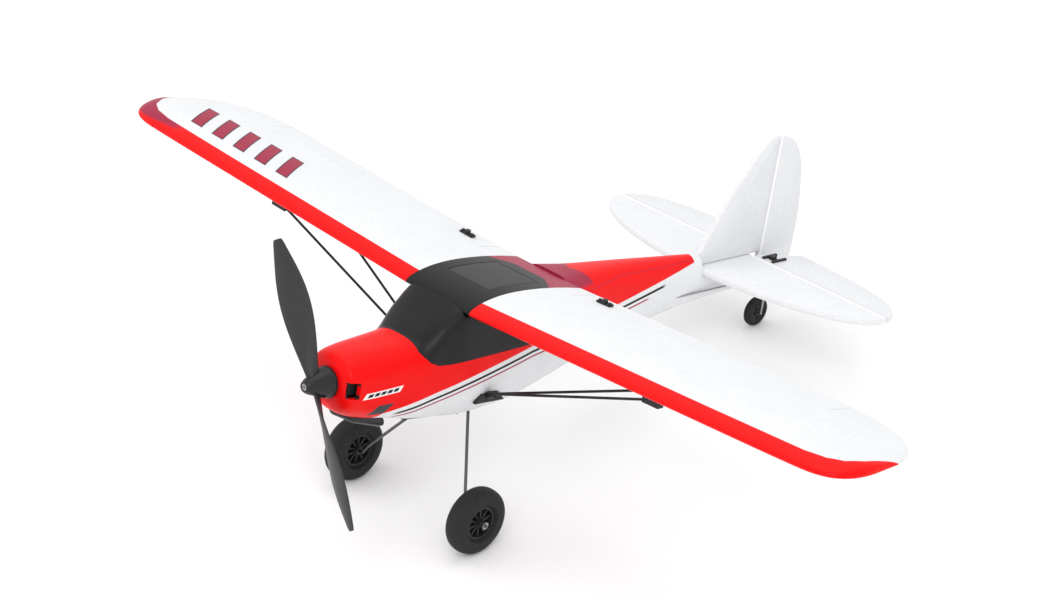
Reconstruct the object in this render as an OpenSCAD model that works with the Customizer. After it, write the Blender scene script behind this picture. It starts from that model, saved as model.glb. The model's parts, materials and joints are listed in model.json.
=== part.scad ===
// Radio-controlled high-wing monoplane with strut-braced foam wings and a tail wheel.
// Design frame: propeller hub at the origin, +X to the left wing tip, +Y to the tail,
// +Z up with the body level. place() stands the model on its three wheels.

/* [Wing] */
// Wing span, tip to tip
span = 451; // [440:1:480]
// Chord of the straight part of the wing
chord = 68.7; // [66:0.1:72]
// Distance of the leading edge behind the propeller
wing_front = 65.3; // [64:0.1:67]
// Half width of the centre section, where each wing panel starts
root_x = 20.2; // [19.5:0.1:21]
// Height of the root leading edge above the propeller shaft
root_z = 28.5; // [28:0.1:30]
// Upward slope of each panel
dihedral = 2.84; // [2:0.1:4]

/* [Tail] */
// Half span of the tailplane
tail_half = 86; // [80:0.5:95]
// Height of the middle of the tailplane
tail_z = 13.8; // [13:0.1:14.5]
// Thickness of the tailplane
tail_thick = 3.5; // [3.2:0.1:3.6]
// Elevator hinge line behind the propeller
elevator_hinge_y = 275; // [274:0.1:276]
// Rudder hinge line behind the propeller
rudder_hinge_y = 283; // [282.5:0.1:284]
// Thickness of the fin and the rudder
fin_thick = 3.2; // [3:0.1:3.6]

/* [Body] */
// Wall of the foam body
body_wall = 2.4; // [2:0.1:3]
// Half width of the roof hatch
hatch_half = 12.9; // [12:0.1:13.5]

/* [Propeller] */
// Propeller radius
prop_r = 63.5; // [55:0.5:64]
// Angle of the blades at rest, from +X towards +Z
prop_rest = 123; // [0:1:180]
// Reduction gear module
gear_module = 0.3; // [0.3:0.05:0.3]
// Teeth on the spur gear
spur_teeth = 54; // [54:1:54]
// Teeth on the pinion
pinion_teeth = 12; // [12:1:12]

/* [Undercarriage] */
// Main tyre radius
tyre_r = 15.4; // [14:0.1:16]
// Main tyre width
tyre_w = 10; // [8:0.5:11]
// Half track, to the middle of each tyre
track_half = 40.2; // [38:0.1:44]
// Main axle behind the propeller
axle_y = 68.1; // [66:0.1:70]
// Main axle height
axle_z = -61.4; // [-64:0.1:-60]
// Tail wheel radius
tail_wheel_r = 7.5; // [6:0.1:8]
// Tail axle behind the propeller
tail_axle_y = 289.7; // [288:0.1:291]
// Tail axle height
tail_axle_z = -17.4; // [-19:0.1:-16]
// Radius of the gear wire
wire_r = 0.7; // [0.6:0.05:0.8]

/* [Hidden] */

$fn = 40;
eps = 0.01;
gap = 0.3;        // between a moving surface and what it moves in
running = 0.05;   // radial clearance of a shaft in its bore

// The three tyres touch one plane: the pitch that does it, and the height it gives.
wheel_run = tail_axle_y - axle_y;
wheel_rise = tail_axle_z - axle_z;
pitch = atan(wheel_rise / wheel_run)
    + asin((tyre_r - tail_wheel_r) / sqrt(wheel_run * wheel_run + wheel_rise * wheel_rise));
ride_height = axle_y * sin(pitch) - axle_z * cos(pitch) + tyre_r;
half_length = 147.59;   // from the hub to the middle of the overall length, standing

// Body stations: [behind the propeller, half width, height of the widest line, top,
// bottom, squareness of the upper half, squareness of the lower half]
stations = [
    [7.5, 8.8, 0, 8.6, -8.8, 2, 2],
    [8.1, 11.4, 0, 10.6, -10.8, 2.2, 2.2],
    [9.6, 13.6, 0, 12.0, -12.8, 2.4, 2.4],
    [14, 15.0, 0, 13.0, -15.2, 2.5, 2.5],
    [22, 15.9, 0, 13.9, -17.7, 2.5, 2.6],
    [34, 16.6, 0, 14.5, -19.8, 2.6, 2.8],
    [45, 17.3, 0, 15.0, -22.2, 2.8, 3.0],
    [57, 17.9, 3, 24.2, -24.4, 5.4, 3.2],
    [68, 18.2, 5, 31.0, -26.0, 6.4, 3.2],
    [84, 18.2, 6, 33.6, -27.2, 6.6, 3.2],
    [104, 18.1, 6, 33.0, -26.2, 5.8, 3.0],
    [134, 16.7, 7, 30.0, -19.6, 4.0, 2.8],
    [150, 14.9, 8, 28.9, -16.0, 2.8, 2.6],
    [178, 11.8, 9, 27.0, -10.2, 2.3, 2.5],
    [206, 8.9, 10, 24.4, -5.4, 2.1, 2.4],
    [236, 6.0, 10, 21.4, -2.4, 2.0, 2.4],
    [262, 3.9, 9, 17.6, -1.2, 2.0, 2.4],
    [280.3, 2.4, 8, 15.4, -0.6, 2.0, 2.4]
];
arc_steps = 20;

aileron_in = 10.5;     // along the panel, from the root
aileron_out = 157;
hinge_back = 53.7;     // aileron hinge line behind the leading edge
tip_x = span / 2 - root_x;
aerofoil_steps = 12;
wing_stations = [0, 30, 70, 110, 145, 163, 177, 186, 193, 198.5, 202, 204.2, tip_x];

seat_z = tail_z - tail_thick / 2;     // underside of the tailplane
fin_base_z = tail_z + tail_thick / 2;
fin_front_y = 236;

elevator_arm = 9;      // hinge line to the pushrod
rudder_arm = 7;
servo_arm = 7;
rod_r = 0.45;
rod_bend = 0.8;
rod_cross = 0.27;
elevator_rod_x = 7;
rod_z = tail_z - elevator_arm;
elevator_servo_y = 112;
rudder_servo_y = 90;
joiner_y = 79;
joiner_z = 2;          // above the root leading edge

aileron_arm_x = 23.8;  // along the panel to the horn
aileron_horn_r = 6;
aileron_servo_r = 5;
aileron_servo_y = 95;

shaft_r = 0.75;
spur_y = 13.2;         // front face of the gears
gear_w = 2.2;
gear_spacing = gear_module * (spur_teeth + pinion_teeth) / 2;

strut_foot = [17.8, 86.3, -14];
strut_front = [116, 76.9, 26.6];
strut_rear = [119.3, 100.3, 28];

door_front = 47;
door_rear = 79;
door_half = 8;
door_z = -26.4;        // underside of the battery door at its rear edge
door_slope = 6.7;
hatch_front = 83.3;
hatch_rear = 113.1;

foam = "white";
black = [0.12, 0.12, 0.13];
steel = "silver";

// ---- helpers ----

module place() translate([0, -half_length, ride_height]) rotate([-pitch, 0, 0]) children();

module on_side(side) if (side > 0) children(); else mirror([1, 0, 0]) children();

// The frame of a wing panel: origin at the root leading edge height, X along the panel.
module on_wing(side)
    on_side(side) translate([root_x, 0, root_z]) rotate([0, -dihedral, 0]) children();

module along_y() rotate([-90, 0, 0]) children();

module along_x() rotate([0, 90, 0]) children();

// Straight round wire between two points, run past each of them by "past".
module wire(a, b, r, past = 0) {
    d = b - a;
    translate(a) rotate([0, acos(d[2] / norm(d)), atan2(d[1], d[0])])
        translate([0, 0, -past]) cylinder(h = norm(d) + 2 * past, r = r);
}

// Wire through a list of points; the legs cross at each bend.
module crossed_wire(points, r, past)
    for (i = [0:len(points) - 2]) wire(points[i], points[i + 1], r, past);

function unit(v) = v / norm(v);

// How far a round bend starts before its corner.
function setback(points, i, bend) =
    i == 0 || i == len(points) - 1 ? 0
    : let (c = unit(points[i] - points[i - 1]) * unit(points[i + 1] - points[i]))
        bend * sqrt((1 - c) / (1 + c));

// Wire through a list of points, with a bend of one radius at each inner point.
module bent_wire(points, r, bend) {
    last = len(points) - 1;
    for (i = [0:last - 1])
        let (u = unit(points[i + 1] - points[i]))
            wire(points[i] + u * setback(points, i, bend),
                 points[i + 1] - u * setback(points, i + 1, bend), r);
    for (i = [1:last - 1])
        let (
            u = unit(points[i] - points[i - 1]),
            v = unit(points[i + 1] - points[i]),
            n = unit(cross(u, v)),
            out = cross(u, n),
            centre = points[i] - u * setback(points, i, bend) - out * bend
        )
            multmatrix([[out[0], u[0], n[0], centre[0]], [out[1], u[1], n[1], centre[1]],
                        [out[2], u[2], n[2], centre[2]], [0, 0, 0, 1]])
                rotate_extrude(angle = acos(u * v)) translate([bend, 0]) circle(r = r);
}

function reversed(list) = [for (i = [len(list) - 1:-1:0]) list[i]];

// Closed skin over rings that have the same number of points, each in clockwise order
// seen along the loft. An open shell has rings that go along one wall and back along
// the other, so its end faces are strips between the two.
module loft(rings, shell = false) {
    count = len(rings[0]);
    last = (len(rings) - 1) * count;
    strip = [for (i = [0:count / 2 - 2], t = [0, 1])
        t == 0 ? [i, count - 1 - i, count - 2 - i] : [i, count - 2 - i, i + 1]];
    sides = [
        for (r = [0:len(rings) - 2], i = [0:count - 1])
            let (a = r * count + i, b = r * count + (i + 1) % count)
                each [[a, b, b + count], [a, b + count, a + count]]
    ];
    polyhedron(
        points = [for (ring = rings) each ring],
        faces = concat(sides, shell
            ? [for (f = strip, end = [0, 1]) end == 0 ? f : [last + f[0], last + f[2], last + f[1]]]
            : [[for (i = [count - 1:-1:0]) i], [for (i = [0:count - 1]) last + i]])
    );
}

// Slot with round ends, cut along Z.
module slot(length, r, h) {
    for (s = [-1, 1]) translate([s * (length / 2 - r), 0, 0]) cylinder(h = h, r = r);
    translate([r - length / 2, -r, 0]) cube([length - 2 * r, 2 * r, h]);
}

// ---- body ----

function wall_at(s) = min(body_wall, s[1] * 0.55);

function side_arc(s, inset) = [
    for (i = [0:arc_steps])
        let (
            a = 90 - 180 * i / arc_steps,
            power = 2 / (a >= 0 ? s[5] : s[6]),
            height = (a >= 0 ? s[3] - s[2] : s[2] - s[4]) - inset
        )
        [(s[1] - inset) * pow(abs(cos(a)), power), s[0],
         s[2] + sign(a) * height * pow(abs(sin(a)), power)]
];

function half_ring(s) = concat(side_arc(s, wall_at(s)), reversed(side_arc(s, 0)));

module body_half() difference() {
    loft([for (s = stations) half_ring(s)], shell = true);
    // seat of the centre section
    translate([-1, wing_front - 0.2, root_z - 2.2]) cube([30, chord + 0.6, 20]);
    // cheek air intake
    translate([9, 10.9, 0.3]) along_x() cylinder(h = 12, r = 2.7);
    // battery opening
    translate([-1, door_front - 0.3, -35])
        cube([door_half + 1.3, door_rear - door_front + 1.7, 22]);
    door_frame() translate([-12, 0, 0.9]) along_x() cylinder(h = 24, r = 0.52);
    // seat of the tailplane and fin
    translate([-1, fin_front_y, seat_z]) cube([20, 60, 20]);
    // pushrod exit
    translate([elevator_rod_x, 176, rod_z]) along_y() cylinder(h = 70, r = 1.1);
    // undercarriage leg hole
    wire(leg_top, leg_knee, wire_r + 0.4);
}

module fuselage_left() color(foam) place() body_half();

module fuselage_right() color(foam) place() mirror([1, 0, 0]) body_half();

// ---- wing ----

// Mean line and half thickness of the wing section, as parts of the chord.
function camber(s) = s < 0.4 ? 0.1875 * (0.8 * s - s * s)
                             : 0.0833 * (0.2 + 0.8 * s - s * s);
function half_thick(s) = 0.525 * (0.2969 * sqrt(s) - 0.126 * s - 0.3516 * s * s
                                  + 0.2843 * pow(s, 3) - 0.1015 * pow(s, 4)) + 0.006 * s;

// Plan outline: straight edges, then a superellipse at each corner of the tip.
tip_mid = 26.7;
function edge(x, start, power) =
    x <= start ? 1 : pow(max(0, 1 - pow((x - start) / (tip_x - start), power)), 1 / power);
function lead(x) = wing_front + tip_mid * (1 - edge(x, 179.8, 3));
function trail(x) = wing_front + tip_mid + (chord - tip_mid) * edge(x, 144.8, 2.5);
function local_chord(x) = max(1.2, trail(x) - lead(x));

function foil_ring(x) =
    let (
        c = local_chord(x),
        y0 = min(lead(x), wing_front + tip_mid - 0.6),
        fat = pow(c / chord, -0.25)
    )
    concat(
        [for (i = [0:aerofoil_steps])
            let (s = (1 - cos(180 * i / aerofoil_steps)) / 2)
            [x, y0 + s * c, c * (camber(s) + fat * half_thick(s))
                + (1 - c / chord) * 1.6]],
        [for (i = [aerofoil_steps:-1:1])
            let (s = (1 - cos(180 * i / aerofoil_steps)) / 2)
            [x, y0 + s * c, c * (camber(s) - fat * half_thick(s))
                + (1 - c / chord) * 1.6]]
    );

module wing_loft() loft([for (x = wing_stations) foil_ring(x)]);

hinge_y = wing_front + hinge_back;
hinge_s = hinge_back / chord;
hinge_z = chord * camber(hinge_s);
nose_r = chord * half_thick(hinge_s) - 0.05;

module aileron_cut(x0, x1, r) {
    translate([x0, hinge_y, -20]) cube([x1 - x0, 60, 60]);
    translate([x0, hinge_y, hinge_z]) along_x() cylinder(h = x1 - x0, r = r);
}

servo_l = 16;
servo_h = 15;
servo_w = 7;
pocket_x = aileron_arm_x + 1.6;

module wing_panel() difference() {
    wing_loft();
    aileron_cut(aileron_in - gap, aileron_out + gap, nose_r + gap);
    // joiner tube
    translate([-1, joiner_y, joiner_z]) along_x() cylinder(h = 61, r = 1.55);
    // servo pocket and arm slot, open below
    translate([pocket_x - 0.1, aileron_servo_y - 12.1, -8])
        cube([servo_h + 0.2, servo_l + 0.2, 12.4]);
    translate([aileron_arm_x - 1.6, aileron_servo_y - 5, -8]) cube([3.3, 10, 12]);
}

module wing_left() color(foam) place() on_wing(1) wing_panel();

module wing_right() color(foam) place() on_wing(-1) wing_panel();

module aileron_panel() difference() {
    union() {
        intersection() {
            wing_loft();
            translate([aileron_in, hinge_y, -20]) cube([aileron_out - aileron_in, 60, 60]);
        }
        translate([aileron_in, hinge_y, hinge_z])
            along_x() cylinder(h = aileron_out - aileron_in, r = nose_r);
    }
    translate([aileron_arm_x, horn_y, hinge_z - 8]) cylinder(h = 16, r = 0.95);
}

module aileron_left() color(foam) place() on_wing(1) aileron_panel();

module aileron_right() color(foam) place() on_wing(-1) aileron_panel();

// Snap-in horn: a plate with two studs on top, a post through the foam, an arm below.
horn_y = hinge_y + 5.4;
module aileron_horn() difference() {
    union() {
        translate([aileron_arm_x - 4, horn_y - 1.4, hinge_z + 1.4]) cube([8, 2.8, 0.9]);
        translate([aileron_arm_x, horn_y, hinge_z + 2.2]) cylinder(h = 1.4, r = 1.3);
        for (s = [-1, 1])
            translate([aileron_arm_x + s * 3, horn_y, hinge_z + 2.2]) cylinder(h = 0.7, r = 0.8);
        translate([aileron_arm_x - 3, horn_y - 2, hinge_z - 3.2]) cube([6, 4.6, 1]);
        translate([aileron_arm_x, horn_y, hinge_z - 3.2]) cylinder(h = 6, r = 0.9);
        translate([aileron_arm_x - 0.5, hinge_y - 1.4, hinge_z - 8])
            cube([1, 2.8, 3.6]);
        translate([aileron_arm_x - 0.5, hinge_y - 0.2, hinge_z - 5.2])
            cube([1, 6.8, 2.4]);
    }
    translate([aileron_arm_x - 1, hinge_y, hinge_z - aileron_horn_r])
        along_x() slot(2.4, 0.65, 2);
}

module aileron_horn_left() color(black) place() on_wing(1) aileron_horn();

module aileron_horn_right() color(black) place() on_wing(-1) aileron_horn();

servo_axis_z = hinge_z - aileron_horn_r + aileron_servo_r;
module aileron_servo() {
    translate([pocket_x, aileron_servo_y - 12, servo_axis_z - 3.4])
        cube([servo_h, servo_l, servo_w]);
    translate([aileron_arm_x + 1.1, aileron_servo_y, servo_axis_z])
        along_x() cylinder(h = 0.6, r = 1.6);
}

module aileron_servo_left() color(black) place() on_wing(1) aileron_servo();

module aileron_servo_right() color(black) place() on_wing(-1) aileron_servo();

// Flat arm with a round hub on the output shaft and a slot for the wire.
module servo_horn(length) difference() {
    union() {
        cylinder(h = 1, r = 2);
        translate([0, -1.4, 0]) cube([length, 2.8, 1]);
        translate([length, 0, 0]) cylinder(h = 1, r = 1.9);
    }
    translate([length, 0, -1]) slot(2.8, 0.7, 3);
}

module aileron_arm() translate([aileron_arm_x, aileron_servo_y, servo_axis_z])
    along_x() servo_horn(aileron_servo_r);

module aileron_arm_left() color("white") place() on_wing(1) aileron_arm();

module aileron_arm_right() color("white") place() on_wing(-1) aileron_arm();

module aileron_link() let (z = hinge_z - aileron_horn_r, x = aileron_arm_x - 1)
    bent_wire([[aileron_arm_x + 0.9, aileron_servo_y, z], [x - 0.4, aileron_servo_y, z],
               [x - 0.4, hinge_y, z], [aileron_arm_x + 0.9, hinge_y, z]], rod_r, rod_bend);

module aileron_link_left() color(steel) place() on_wing(1) aileron_link();

module aileron_link_right() color(steel) place() on_wing(-1) aileron_link();

module wing_joiner() color(black) place()
    for (side = [-1, 1])
        on_wing(side) translate([-root_x - 0.5, joiner_y, joiner_z])
            along_x() cylinder(h = 78, r = 1.5);

// ---- centre section and hatch ----

module roof_block() intersection() {
    translate([-root_x + gap, 0, 0]) loft([for (x = [0, 2 * root_x - 2 * gap])
        [for (p = foil_ring(0)) [x, p[1], p[2] + root_z]]]);
    translate([-30, 0, root_z - 2.2]) cube([60, 200, 20]);
}

hatch_z = root_z + 5.1;      // seat line of the hatch at its front edge
hatch_tilt = atan(1.9 / (hatch_rear - hatch_front));
module hatch_slab(grow, deep) translate([0, hatch_front, hatch_z]) rotate([-hatch_tilt, 0, 0])
    translate([-hatch_half - grow, -grow, -deep])
        cube([2 * hatch_half + 2 * grow, hatch_rear - hatch_front + 2 * grow, deep + 4]);

module cabin_roof() color(black) place() difference() {
    roof_block();
    hatch_slab(gap, 1.3 + gap);
    translate([-10.5, hatch_front + 6.5, 20]) cube([21, 21, 30]);
    for (side = [-1, 1])
        on_wing(side) translate([-root_x - 2, joiner_y, joiner_z])
            along_x() cylinder(h = 40, r = 1.55);
    for (s = [-1, 1]) translate([s * 11.4, hatch_front + 16, 20]) cylinder(h = 20, r = 1.05);
}

// The hatch is the piece of roof skin above its seat, so it lies flush.
module roof_hatch() color(black) place() intersection() {
    roof_block();
    hatch_slab(0, 1.2);
}

module hatch_magnets() color(steel) place()
    for (s = [-1, 1]) translate([s * 11.4, hatch_front + 16, root_z + 0.6])
        cylinder(h = 1.5, r = 1);

// ---- nose ----

module chin_scoop() color(black) place() difference() {
    hull() {
        translate([0, 14.4, -13.8]) sphere(3, $fn = 24);
        for (s = [-1, 1]) {
            translate([s * 6.4, 20, -16.6]) sphere(2.4, $fn = 24);
            translate([s * 6.6, 33.6, -21.4]) along_y() cylinder(h = 2, r = 2, $fn = 24);
        }
        translate([0, 32.2, -16]) cube([10, 4, 2], center = true);
    }
    body_solid();
    translate([-5.6, 26, -22.2]) cube([11.2, 14, 2]);
}

// The outer skin of the body, filled.
module body_solid()
    loft([for (s = stations)
        concat(reversed(side_arc(s, -0.05)), [for (p = side_arc(s, -0.05)) if (p[0] > eps)
            [-p[0], p[1], p[2]]])]);

module motor_mount() color(black) place() difference() {
    union() {
        translate([0, 8.2, 0]) along_y() cylinder(h = 1.7, r = 7.9);
        translate([0, 7.6, 0]) along_y() cylinder(h = 4.6, r = 2.6);
        translate([-10.2, 9.6, -3]) cube([20.4, 1.4, 6]);
        for (s = [-1, 1]) translate([s * 9.75 - 0.45, 9.6, -3]) cube([0.9, 8.6, 6]);
        translate([-10.2, 17.6, -3]) cube([20.4, 2, 9]);
        translate([-6, 17.6, -12.6]) cube([12, 2, 10]);
    }
    along_y() cylinder(h = 40, r = 1.6);
    translate([0, 17, -gear_spacing]) along_y() cylinder(h = 4, r = 1.2);
}

module shaft_bushes() color("goldenrod") place()
    for (y = [7.8, 17.2]) translate([0, y, 0]) along_y() difference() {
        union() {
            cylinder(h = 2.8, r = 1.6);
            if (y > 10) translate([0, 0, 2.4]) cylinder(h = 0.6, r = 2.2);
        }
        translate([0, 0, -1]) cylinder(h = 6, r = shaft_r + running);
    }

module prop_shaft() color(steel) place()
    translate([0, -1.6, 0]) along_y() cylinder(h = 24, r = shaft_r);

function involute(t) = tan(t) - t * PI / 180;

// Half angle of a tooth at radius r, thinned a little for backlash.
function tooth_half(r, teeth, m) =
    let (rb = m * teeth / 2 * cos(20), a = acos(min(1, rb / r)))
    (PI / 2 / teeth + involute(20) - involute(a)) * 180 / PI - 0.045 / r * 180 / PI;

function tooth(k, teeth, m) =
    let (
        rp = m * teeth / 2,
        ra = rp + 0.9 * m,
        rf = rp - 1.2 * m,
        rb = rp * cos(20),
        r0 = max(rf, rb),
        a0 = 360 * k / teeth,
        radii = [r0, (r0 + 2 * ra) / 3, ra],
        foot = tooth_half(r0, teeth, m)
    )
    concat(
        [[rf, a0 - foot]],
        [for (r = radii) [r, a0 - tooth_half(r, teeth, m)]],
        [for (r = reversed(radii)) [r, a0 + tooth_half(r, teeth, m)]],
        [[rf, a0 + foot]]
    );

module gear(teeth, m, phase) {
    flat = [for (k = [0:teeth - 1]) each tooth(k, teeth, m)];
    polygon([for (p = flat) p[0] * [cos(p[1] + phase), sin(p[1] + phase)]]);
}

// The spur has a tooth on the line of centres, which meets a space of the pinion.
module spur_gear() color("ivory") place() translate([0, spur_y, 0]) along_y() difference() {
    union() {
        linear_extrude(gear_w) gear(spur_teeth, gear_module, 90);
        translate([0, 0, -0.6]) cylinder(h = gear_w + 1.2, r = 2);
    }
    translate([0, 0, -2]) cylinder(h = 8, r = shaft_r + 0.02);
    for (k = [0:4]) rotate([0, 0, 72 * k + 18]) translate([4.6, 0, -1]) cylinder(h = 5, r = 1.5);
}

module pinion() color("gold") place() translate([0, spur_y, -gear_spacing]) along_y() {
    linear_extrude(gear_w) gear(pinion_teeth, gear_module, -90 + 180 / pinion_teeth);
    cylinder(h = 7.6, r = 0.5);
}

module motor() color(steel) place() translate([0, 19.8, -gear_spacing]) along_y()
    difference() {
        union() {
            cylinder(h = 19, r = 4.2);
            translate([0, 0, 19]) cylinder(h = 1, r = 3.4);
        }
        translate([0, 0, -1]) cylinder(h = 4, r = 0.5 + running);
    }

// ---- propeller ----

blade_stations = [3.2, 8, 14, 22, 32, 43, 52, 58, 61.5, 63];
function blade_chord(u) = 5 + 10 * pow(sin(180 * pow(u, 1.23)), 1.2);
function blade_ring(r) =
    let (
        u = r / prop_r,
        c = blade_chord(u),
        twist = atan(15 / (r + 4)),
        thick = 0.5 + 1.6 * (1 - u)
    )
    [for (i = [0:11])
        let (
            a = 30 * i,
            across = c * (0.5 * cos(a) + 0.06),
            deep = 0.05 * c * (1 - pow(cos(a), 2)) + thick / 2 * sin(a)
        )
        [r, across * sin(twist) - deep * cos(twist),
         -across * cos(twist) - deep * sin(twist)]];

module propeller() color(black) place() rotate([0, -prop_rest, 0]) difference() {
    union() {
        for (half = [0, 180]) rotate([0, half, 0])
            loft([for (r = blade_stations) blade_ring(r * prop_r / 63.5)]);
        translate([0, 0.5, 0]) along_y() cylinder(h = 5, r = 4.4);
    }
    translate([0, -5, 0]) along_y() cylinder(h = 12, r = shaft_r + 0.02);
}

spinner_r = 7;
spinner_front = 5.9;
spinner_back = 7.2;
spinner_steps = 10;
module spinner() color(black) place() difference() {
    along_y() rotate_extrude() polygon(concat(
        [[0, spinner_back], [0, -spinner_front]],
        [for (i = [0:spinner_steps])
            let (t = i / spinner_steps)
            [2 + (spinner_r - 2) * pow(t, 0.7),
             -spinner_front + (spinner_front + spinner_back) * t]]
    ));
    translate([0, 0.4, 0]) along_y() cylinder(h = 20, r = 4.5);
    translate([0, -20, 0]) along_y() cylinder(h = 30, r = shaft_r + 0.04);
    translate([0, -6.5, 0]) along_y() cylinder(h = 1.8, r = 1.7);
    for (half = [0, 180]) rotate([0, half - prop_rest, 0])
        translate([3, -2.9, -3]) cube([9, 6.4, 5.4]);
}

module spinner_screw() color(steel) place() {
    translate([0, -5.62, 0]) along_y() difference() {
        cylinder(h = 0.9, r = 1.5);
        for (a = [0, 90]) rotate([0, 0, a]) translate([-1.1, -0.2, -1]) cube([2.2, 0.4, 1.5]);
    }
    translate([0, -4.9, 0]) along_y() cylinder(h = 2.2, r = 0.7);
}

// ---- inside the body ----

module battery() color("lightsteelblue") place()
    translate([-7.8, 47.5, -20]) rotate([-3, 0, 0]) cube([15.6, 31, 9]);

module receiver_board() color("green") place() {
    translate([-8.5, 62, 8]) cube([17, 12, 1]);
    translate([-3, 65, 9]) cube([6, 6, 1.2]);
    translate([-7, 72, 9]) cube([14, 1.8, 3]);
}

module servo_tray() color("tan") place() difference() {
    translate([-14.2, 62, -2.6]) cube([28.4, 62, 1.4]);
    translate([-4.5, elevator_servo_y - 11.3, -4]) cube([9, 17.4, 5]);
    translate([-4.5, rudder_servo_y - 11.3, -4]) cube([9, 17.4, 5]);
    translate([-10, 63.5, -4]) cube([20, 10, 5]);
}

module standing_servo(y, top) translate([0, y, 0]) {
    translate([-4, -11, top - 16]) cube([8, 16.6, 16]);
    translate([0, 0, top - eps]) cylinder(h = 0.8, r = 1.6);
}

module elevator_servo() color("royalblue") place()
    standing_servo(elevator_servo_y, rod_z - 1.4);

module rudder_servo() color("royalblue") place()
    standing_servo(rudder_servo_y, rod_z - 1.4);

module elevator_servo_arm() color("white") place()
    translate([0, elevator_servo_y, rod_z - 0.5]) servo_horn(servo_arm);

module rudder_servo_arm() color("white") place() mirror([1, 0, 0])
    translate([0, rudder_servo_y, rod_z - 0.5]) servo_horn(servo_arm);

// Each pushrod is a straight wire that steps down through the servo arm at its front end.
function rod_front(x, servo_y) = [[x, servo_y, rod_z - 1.1], [x, servo_y, rod_z + 1.4],
                                  [x, servo_y + 15, rod_z]];

module elevator_pushrod() color(steel) place()
    crossed_wire(concat(rod_front(elevator_rod_x, elevator_servo_y),
                        [[elevator_rod_x, elevator_hinge_y, rod_z],
                         [elevator_rod_x - 1.6, elevator_hinge_y, rod_z]]), rod_r, rod_cross);

module rudder_pushrod() color(steel) place()
    crossed_wire(concat(rod_front(-rudder_arm, rudder_servo_y),
                        [[-rudder_arm, rudder_hinge_y, rod_z],
                         [-rudder_arm, rudder_hinge_y, rod_z + 2.1]]), rod_r, rod_cross);

// ---- tail ----

function tail_edge(x, depth, power) =
    depth * pow(max(0, 1 - pow(x / tail_half, power)), 1 / power);
tail_mid_y = 273;
tail_steps = 18;
function tail_x(i) = tail_half * sin(90 * i / tail_steps);
function front_line() = [for (i = [0:tail_steps])
    [tail_x(i), tail_mid_y - tail_edge(tail_x(i), 37, 1.9)]];
function rear_line() = [for (i = [tail_steps:-1:0])
    [tail_x(i), tail_mid_y + tail_edge(tail_x(i), 28, 2.8)]];

elevator_nose = tail_thick / 2 - 0.05;
module stabiliser() color(foam) place() difference() {
    tail_plate();
    translate([-100, elevator_hinge_y, 0]) cube([200, 60, 30]);
    translate([-100, elevator_hinge_y, tail_z]) along_x() cylinder(h = 200, r = elevator_nose + gap);
}

module tail_plate() translate([0, 0, seat_z]) linear_extrude(tail_thick)
    polygon(concat(front_line(), rear_line(),
        [for (p = reversed(rear_line())) if (p[0] > eps) [-p[0], p[1]]],
        [for (p = reversed(front_line())) if (p[0] > eps) [-p[0], p[1]]]));

// Half width of the notch that the rudder swings in.
function notch(y) = 3.6 + max(0, y - elevator_hinge_y - 4) * 0.5;
elevator_end = tail_half - 1.2;

module elevator() color(foam) place() difference() {
    union() {
        intersection() {
            tail_plate();
            translate([-100, elevator_hinge_y, 0]) cube([200, 60, 30]);
        }
        for (s = [-1, 1])
            translate([s > 0 ? 3.6 : -elevator_end, elevator_hinge_y, tail_z])
                along_x() cylinder(h = elevator_end - 3.6, r = elevator_nose);
    }
    linear_extrude(30)
        polygon([[-3.6, 260], [3.6, 260], [3.6, elevator_hinge_y + 4],
                 [notch(310), 310], [-notch(310), 310], [-3.6, elevator_hinge_y + 4]]);
    for (s = [-1, 1]) {
        translate([s > 0 ? 0 : -14.7, elevator_hinge_y, tail_z])
            along_x() cylinder(h = 14.7, r = 0.65);
        translate([s * 14, elevator_hinge_y, tail_z]) along_y() cylinder(h = 8.2, r = 0.65);
        translate([s * 13.4 - 1.3, elevator_hinge_y - 0.65, tail_z - 0.65]) cube([2.6, 2.6, 1.3]);
    }
    translate([clip_x, clip_y, 0]) cylinder(h = 30, r = 0.95);
}

module elevator_joiner() color(steel) place()
    bent_wire([[-14, elevator_hinge_y + 7, tail_z], [-14, elevator_hinge_y, tail_z],
               [14, elevator_hinge_y, tail_z], [14, elevator_hinge_y + 7, tail_z]], 0.6, 1.2);

// Arm and keeper plate below, a post through the foam, and an H-shaped clip on top.
clip_x = 8.3;
clip_y = 280.6;
clip_reach = 6;        // between the two bars of the clip
module elevator_horn() color(black) place() difference() {
    union() {
        translate([elevator_rod_x - 3, elevator_hinge_y + 1.2, seat_z - 0.9]) cube([6, 7, 0.85]);
        translate([elevator_rod_x - 1.6, elevator_hinge_y - 1.4, rod_z - 2.2]) cube([1, 2.8, 4.6]);
        translate([elevator_rod_x - 1.6, elevator_hinge_y - 0.2, rod_z + 2.2])
            cube([1, 7.2, seat_z - 3 - rod_z]);
        translate([clip_x, clip_y, seat_z - 0.5]) cylinder(h = tail_thick + 1.2, r = 0.9);
        for (x = [0, clip_reach])
            translate([clip_x + x - 0.6, clip_y - 4, fin_base_z + 0.05]) cube([1.2, 10, 1]);
        translate([clip_x, clip_y - 1.1, fin_base_z + 0.05]) cube([clip_reach, 2.2, 0.8]);
        translate([clip_x + clip_reach / 2, clip_y, fin_base_z + 0.05]) cylinder(h = 1.9, r = 1.7);
    }
    translate([elevator_rod_x - 3, elevator_hinge_y, rod_z]) along_x() slot(2.4, 0.65, 4);
}

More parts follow.
